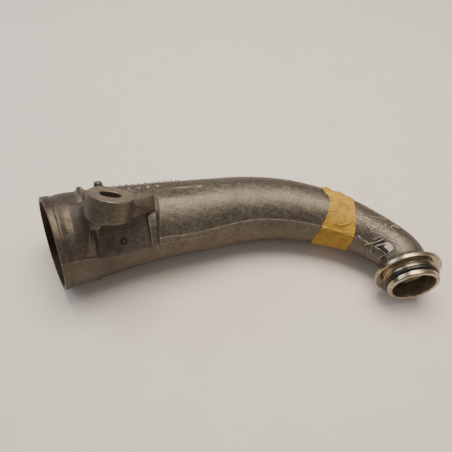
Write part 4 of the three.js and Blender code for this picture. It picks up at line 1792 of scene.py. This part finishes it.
@dataclass(frozen=True)
class FilmTape(Tape):
    """Clear film tape: a single thin layer, lifted off the pipe in blisters and creases.

    Attributes:
        painted_window_reflection: First and last station and angle of a patch painted milky as the reflection
            of a bright window.
        window_reflection_share: How strongly that painted reflection shows, from 0 to 1.
        dark_reflection_area: First and last station and angle of the part darkened by the painted dark
            reflection.
    """

    name: str = "clear_film_strip"
    left: tuple[tuple[float, float], ...] = (
        (0.0, 313.5),
        (63.0, 314.5),
        (97.0, 319.5),
        (145.0, 329.4),
        (187.0, 328.8),
        (250.0, 323.5),
        (310.0, 316.5),
    )
    right: tuple[tuple[float, float], ...] = (
        (0.0, 362.0),
        (40.0, 362.0),
        (73.0, 363.7),
        (82.0, 374.0),
        (108.0, 384.0),
        (130.0, 394.0),
        (187.0, 395.0),
        (230.0, 392.0),
        (280.0, 378.0),
    )
    gap: float = 0.3
    thick: float = 0.12
    rows: int = 120
    ragged: float = 0.25
    painted_window_reflection: tuple[float, float, float, float] = (363.5, 376.5, 129.0, 138.5)
    window_reflection_share: float = 0.6
    dark_reflection_area: tuple[float, float, float, float] = (350.0, 381.0, 122.0, 178.0)
    creases: tuple[Crease, ...] = (
        Crease(ring_of(340.0, 111.0, (4.2, 8.5)), 0.99, 0.81),
        Crease(ring_of(344.6, 125.0, (2.0, 4.0)), 0.72, 0.68),
        Crease(((347.0, 109.0), (347.5, 100.5)), 0.9, 0.68),
        Crease(((351.0, 104.0), (352.0, 97.0), (351.0, 89.0)), 0.9, 0.68),
        Crease(((357.0, 90.0), (356.6, 82.0), (358.5, 76.5), (362.6, 74.5)), 0.99, 0.74),
        Crease(((329.0, 146.0), (339.0, 147.0), (346.7, 152.0)), 0.81, 0.74),
        Crease(((344.0, 158.0), (353.0, 141.0), (357.7, 126.0)), 0.9, 0.74),
        Crease(((349.0, 139.0), (355.0, 120.0)), 0.81, 0.68),
        Crease(((348.0, 121.0), (356.0, 117.0)), 0.72, 0.62),
        Crease(((356.0, 113.0), (365.0, 113.0)), 0.72, 0.62),
        Crease(((360.8, 138.0), (363.9, 127.0), (375.0, 128.0), (379.0, 140.0)), 1.1, 0.99),
        Crease(((355.6, 148.0), (359.7, 137.0), (363.7, 127.0)), 0.9, 0.81),
        Crease(((349.0, 163.0), (353.5, 188.0)), 0.81, 0.68),
        Crease(((352.5, 160.0), (359.5, 197.0)), 0.81, 0.68),
        Crease(((368.4, 174.0), (379.0, 143.0), (384.0, 118.0)), 0.9, 0.87),
        Crease(((369.0, 117.0), (374.0, 115.5)), 0.99, 0.87),
        Crease(((333.0, 92.0), (340.0, 84.0), (349.0, 72.0)), 0.72, 0.74),
        Crease(((326.0, 120.0), (331.0, 131.0), (336.0, 136.0)), 0.63, 0.74),
    )

    def window_reflection_field(self, along: Array, angle: Array, radius: Array) -> Array:
        """How far a point lies outside the painted reflection's patch, in millimetres; below zero inside."""
        first, last, low, high = self.painted_window_reflection
        outside = np.maximum(first - along, along - last)
        return np.maximum(outside, np.radians(np.maximum(low - angle, angle - high)) * radius)

    def build(self, ring_middle: Array) -> bpy.types.Object:
        """Builds the film with its creases and a finer crumple between them."""
        along, angle, under = self.lay()
        plain = PIPE.plain(along)
        spot = straightened(along, angle, plain)
        crumple = np.abs(waves(spot, 9.0, 31)) ** 1.5
        folds = self.folds(along, angle, plain)
        lift = folds + 0.22 * crumple
        points, faces = self.closed(along, angle, under + lift, under + lift + self.thick)
        # painted reflection: the milky patch stands for a bright window seen in the film
        window_reflection = self.window_reflection_share * ramp(self.window_reflection_field(along, angle, plain), 1.5, 0.0)
        broken = ramp(waves(spot, 5.0, 33), -1.3, 0.1)
        # painted highlight: the share is raised on the crease tops, where glints are painted, as well as where
        # the film is milky
        milk_and_glints = np.clip(1.25 * folds**2 * broken + window_reflection + 0.05 * crumple, 0.0, 1.0)
        # painted reflection: a dark patch over the inside of the bend, where the taut film reflects dark
        # surroundings
        first, last, low, high = self.dark_reflection_area
        painted_dark_reflection = ramp(along, first, first + 5.0) * ramp(along, last, last - 3.0)
        painted_dark_reflection = painted_dark_reflection * ramp(angle, low, low + 8.0) * ramp(angle, high, high - 10.0)
        marks = {"painted_dark_reflection": painted_dark_reflection, "milk_and_glints": milk_and_glints}
        return self.finished(REST.place(points, ring_middle), faces, marks, ClearFilm(), 60.0)


# ---- Studio --------------------------------------------------------------------------------------------


@dataclass(frozen=True)
class SoftBox:
    """A soft studio light.

    Attributes:
        place: Where it hangs, in metres.
        aim: What it points at.
        size: Its width and height.
        power: Its power in watts.
        colour: Its colour.
    """

    place: tuple[float, float, float]
    aim: tuple[float, float, float]
    size: tuple[float, float]
    power: float
    colour: str

    def build(self, name: str) -> bpy.types.Object:
        """Hangs the light."""
        light = bpy.data.lights.new(name, "AREA")
        light.shape = "RECTANGLE"
        light.size, light.size_y = self.size
        light.energy = self.power
        light.color = linear(self.colour)[:3]
        lamp = bpy.data.objects.new(name, light)
        lamp.location = self.place
        lamp.rotation_euler = (Vector(self.aim) - Vector(self.place)).to_track_quat("-Z", "Y").to_euler()
        bpy.context.scene.collection.objects.link(lamp)
        return lamp


@dataclass(frozen=True)
class Studio:
    """Pale table, soft light and camera.

    Attributes:
        table: Half the table's width, in metres.
        sky: Colour and strength of the light from all round.
        lights: The soft boxes.
        eye: Where the camera stands.
        tilt: How far it is tilted up from looking straight down, in degrees.
        lens: Its focal length in millimetres, on a 36 mm sensor.
    """

    table: float = 3.0
    sky: tuple[str, float] = ("#f2f0ee", 0.36)
    lights: tuple[SoftBox, ...] = (
        SoftBox((0.15, 0.35, 1.3), (0.0, 0.0, 0.03), (1.1, 0.7), 23.0, "#fff1de"),
        SoftBox((-1.3, 0.5, 0.8), (0.0, 0.0, 0.05), (0.8, 0.8), 6.0, "#e3ecff"),
    )
    eye: tuple[float, float, float] = (-0.00742, -0.25535, 0.40170)
    tilt: float = 35.72
    lens: float = 33.45

    def build(self) -> None:
        """Lays the table, hangs the lights and stands the camera."""
        reach = self.table
        corners = [(x * reach, y * reach, 0.0) for x, y in ((-1, -1), (1, -1), (1, 1), (-1, 1))]
        mesh = bpy.data.meshes.new("table_top")
        mesh.from_pydata(corners, [], [(0, 1, 2, 3)])
        mesh.materials.append(PaintedTable().material())
        table = bpy.data.objects.new("table_top", mesh)
        bpy.context.scene.collection.objects.link(table)
        for number, light in enumerate(self.lights):
            light.build(f"soft_box_{number}")
        world = bpy.data.worlds.new("studio")
        world.use_nodes = True
        sky = world.node_tree.nodes["Background"]
        sky.inputs["Color"].default_value = linear(self.sky[0])
        sky.inputs["Strength"].default_value = self.sky[1]
        bpy.context.scene.world = world
        camera = bpy.data.cameras.new("camera")
        camera.lens = self.lens
        camera.sensor_width = 36.0
        camera.clip_start = 0.01
        stand = bpy.data.objects.new("camera", camera)
        stand.location = self.eye
        stand.rotation_euler = (math.radians(self.tilt), 0.0, 0.0)
        bpy.context.scene.collection.objects.link(stand)
        bpy.context.scene.camera = stand


# ---- Assembly ------------------------------------------------------------------------------------------


@dataclass
class Elbow:
    """The whole elbow, built piece by piece.

    Attributes:
        casting: The cast pipe.
        spigot: The turned sleeve.
        ring: The rubber ring.
        paper: The paper tape.
        film: The clear film tape.
        pieces: The pieces built so far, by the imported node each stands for.
    """

    casting: Casting = Casting()
    spigot: Spigot = Spigot()
    ring: SealRing = SealRing()
    paper: PaperTape = PaperTape()
    film: FilmTape = FilmTape()
    pieces: dict[str, bpy.types.Object] = field(default_factory=dict)

    def keep(self, node: str, slot: str, piece: bpy.types.Object) -> None:
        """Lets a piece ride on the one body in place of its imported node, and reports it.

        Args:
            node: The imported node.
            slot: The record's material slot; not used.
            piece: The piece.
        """
        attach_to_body(piece, "root")
        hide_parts(node)
        self.pieces[node] = piece
        triangles = sum(len(face.vertices) - 2 for face in piece.data.polygons)
        LOG.info("%s stands for %s: %d triangles", piece.name, node, triangles)

    def build(self) -> None:
        """Builds every piece, in the order in which the elbow is put together."""
        station = self.spigot.ring_station
        middle = LINE.carry(np.array([station]), 0.0, 0.0)[0]
        self.keep("pipe_casting", CastAluminium.slot, self.casting.build(middle))
        self.keep("spigot_sleeve", TurnedAluminium.slot, self.spigot.build(middle))
        self.keep("o_ring", MouldedRubber.slot, self.ring.build(station, middle))
        self.keep("paper_tape", CrepedPaper.slot, self.paper.build(middle))
        self.keep("film_tape", ClearFilm.slot, self.film.build(middle))


def main() -> None:
    """Builds the studio and the elbow."""
    logging.basicConfig(level=logging.INFO, format="%(name)s: %(message)s")
    Studio().build()
    Elbow().build()


if __name__ == "__main__":
    main()
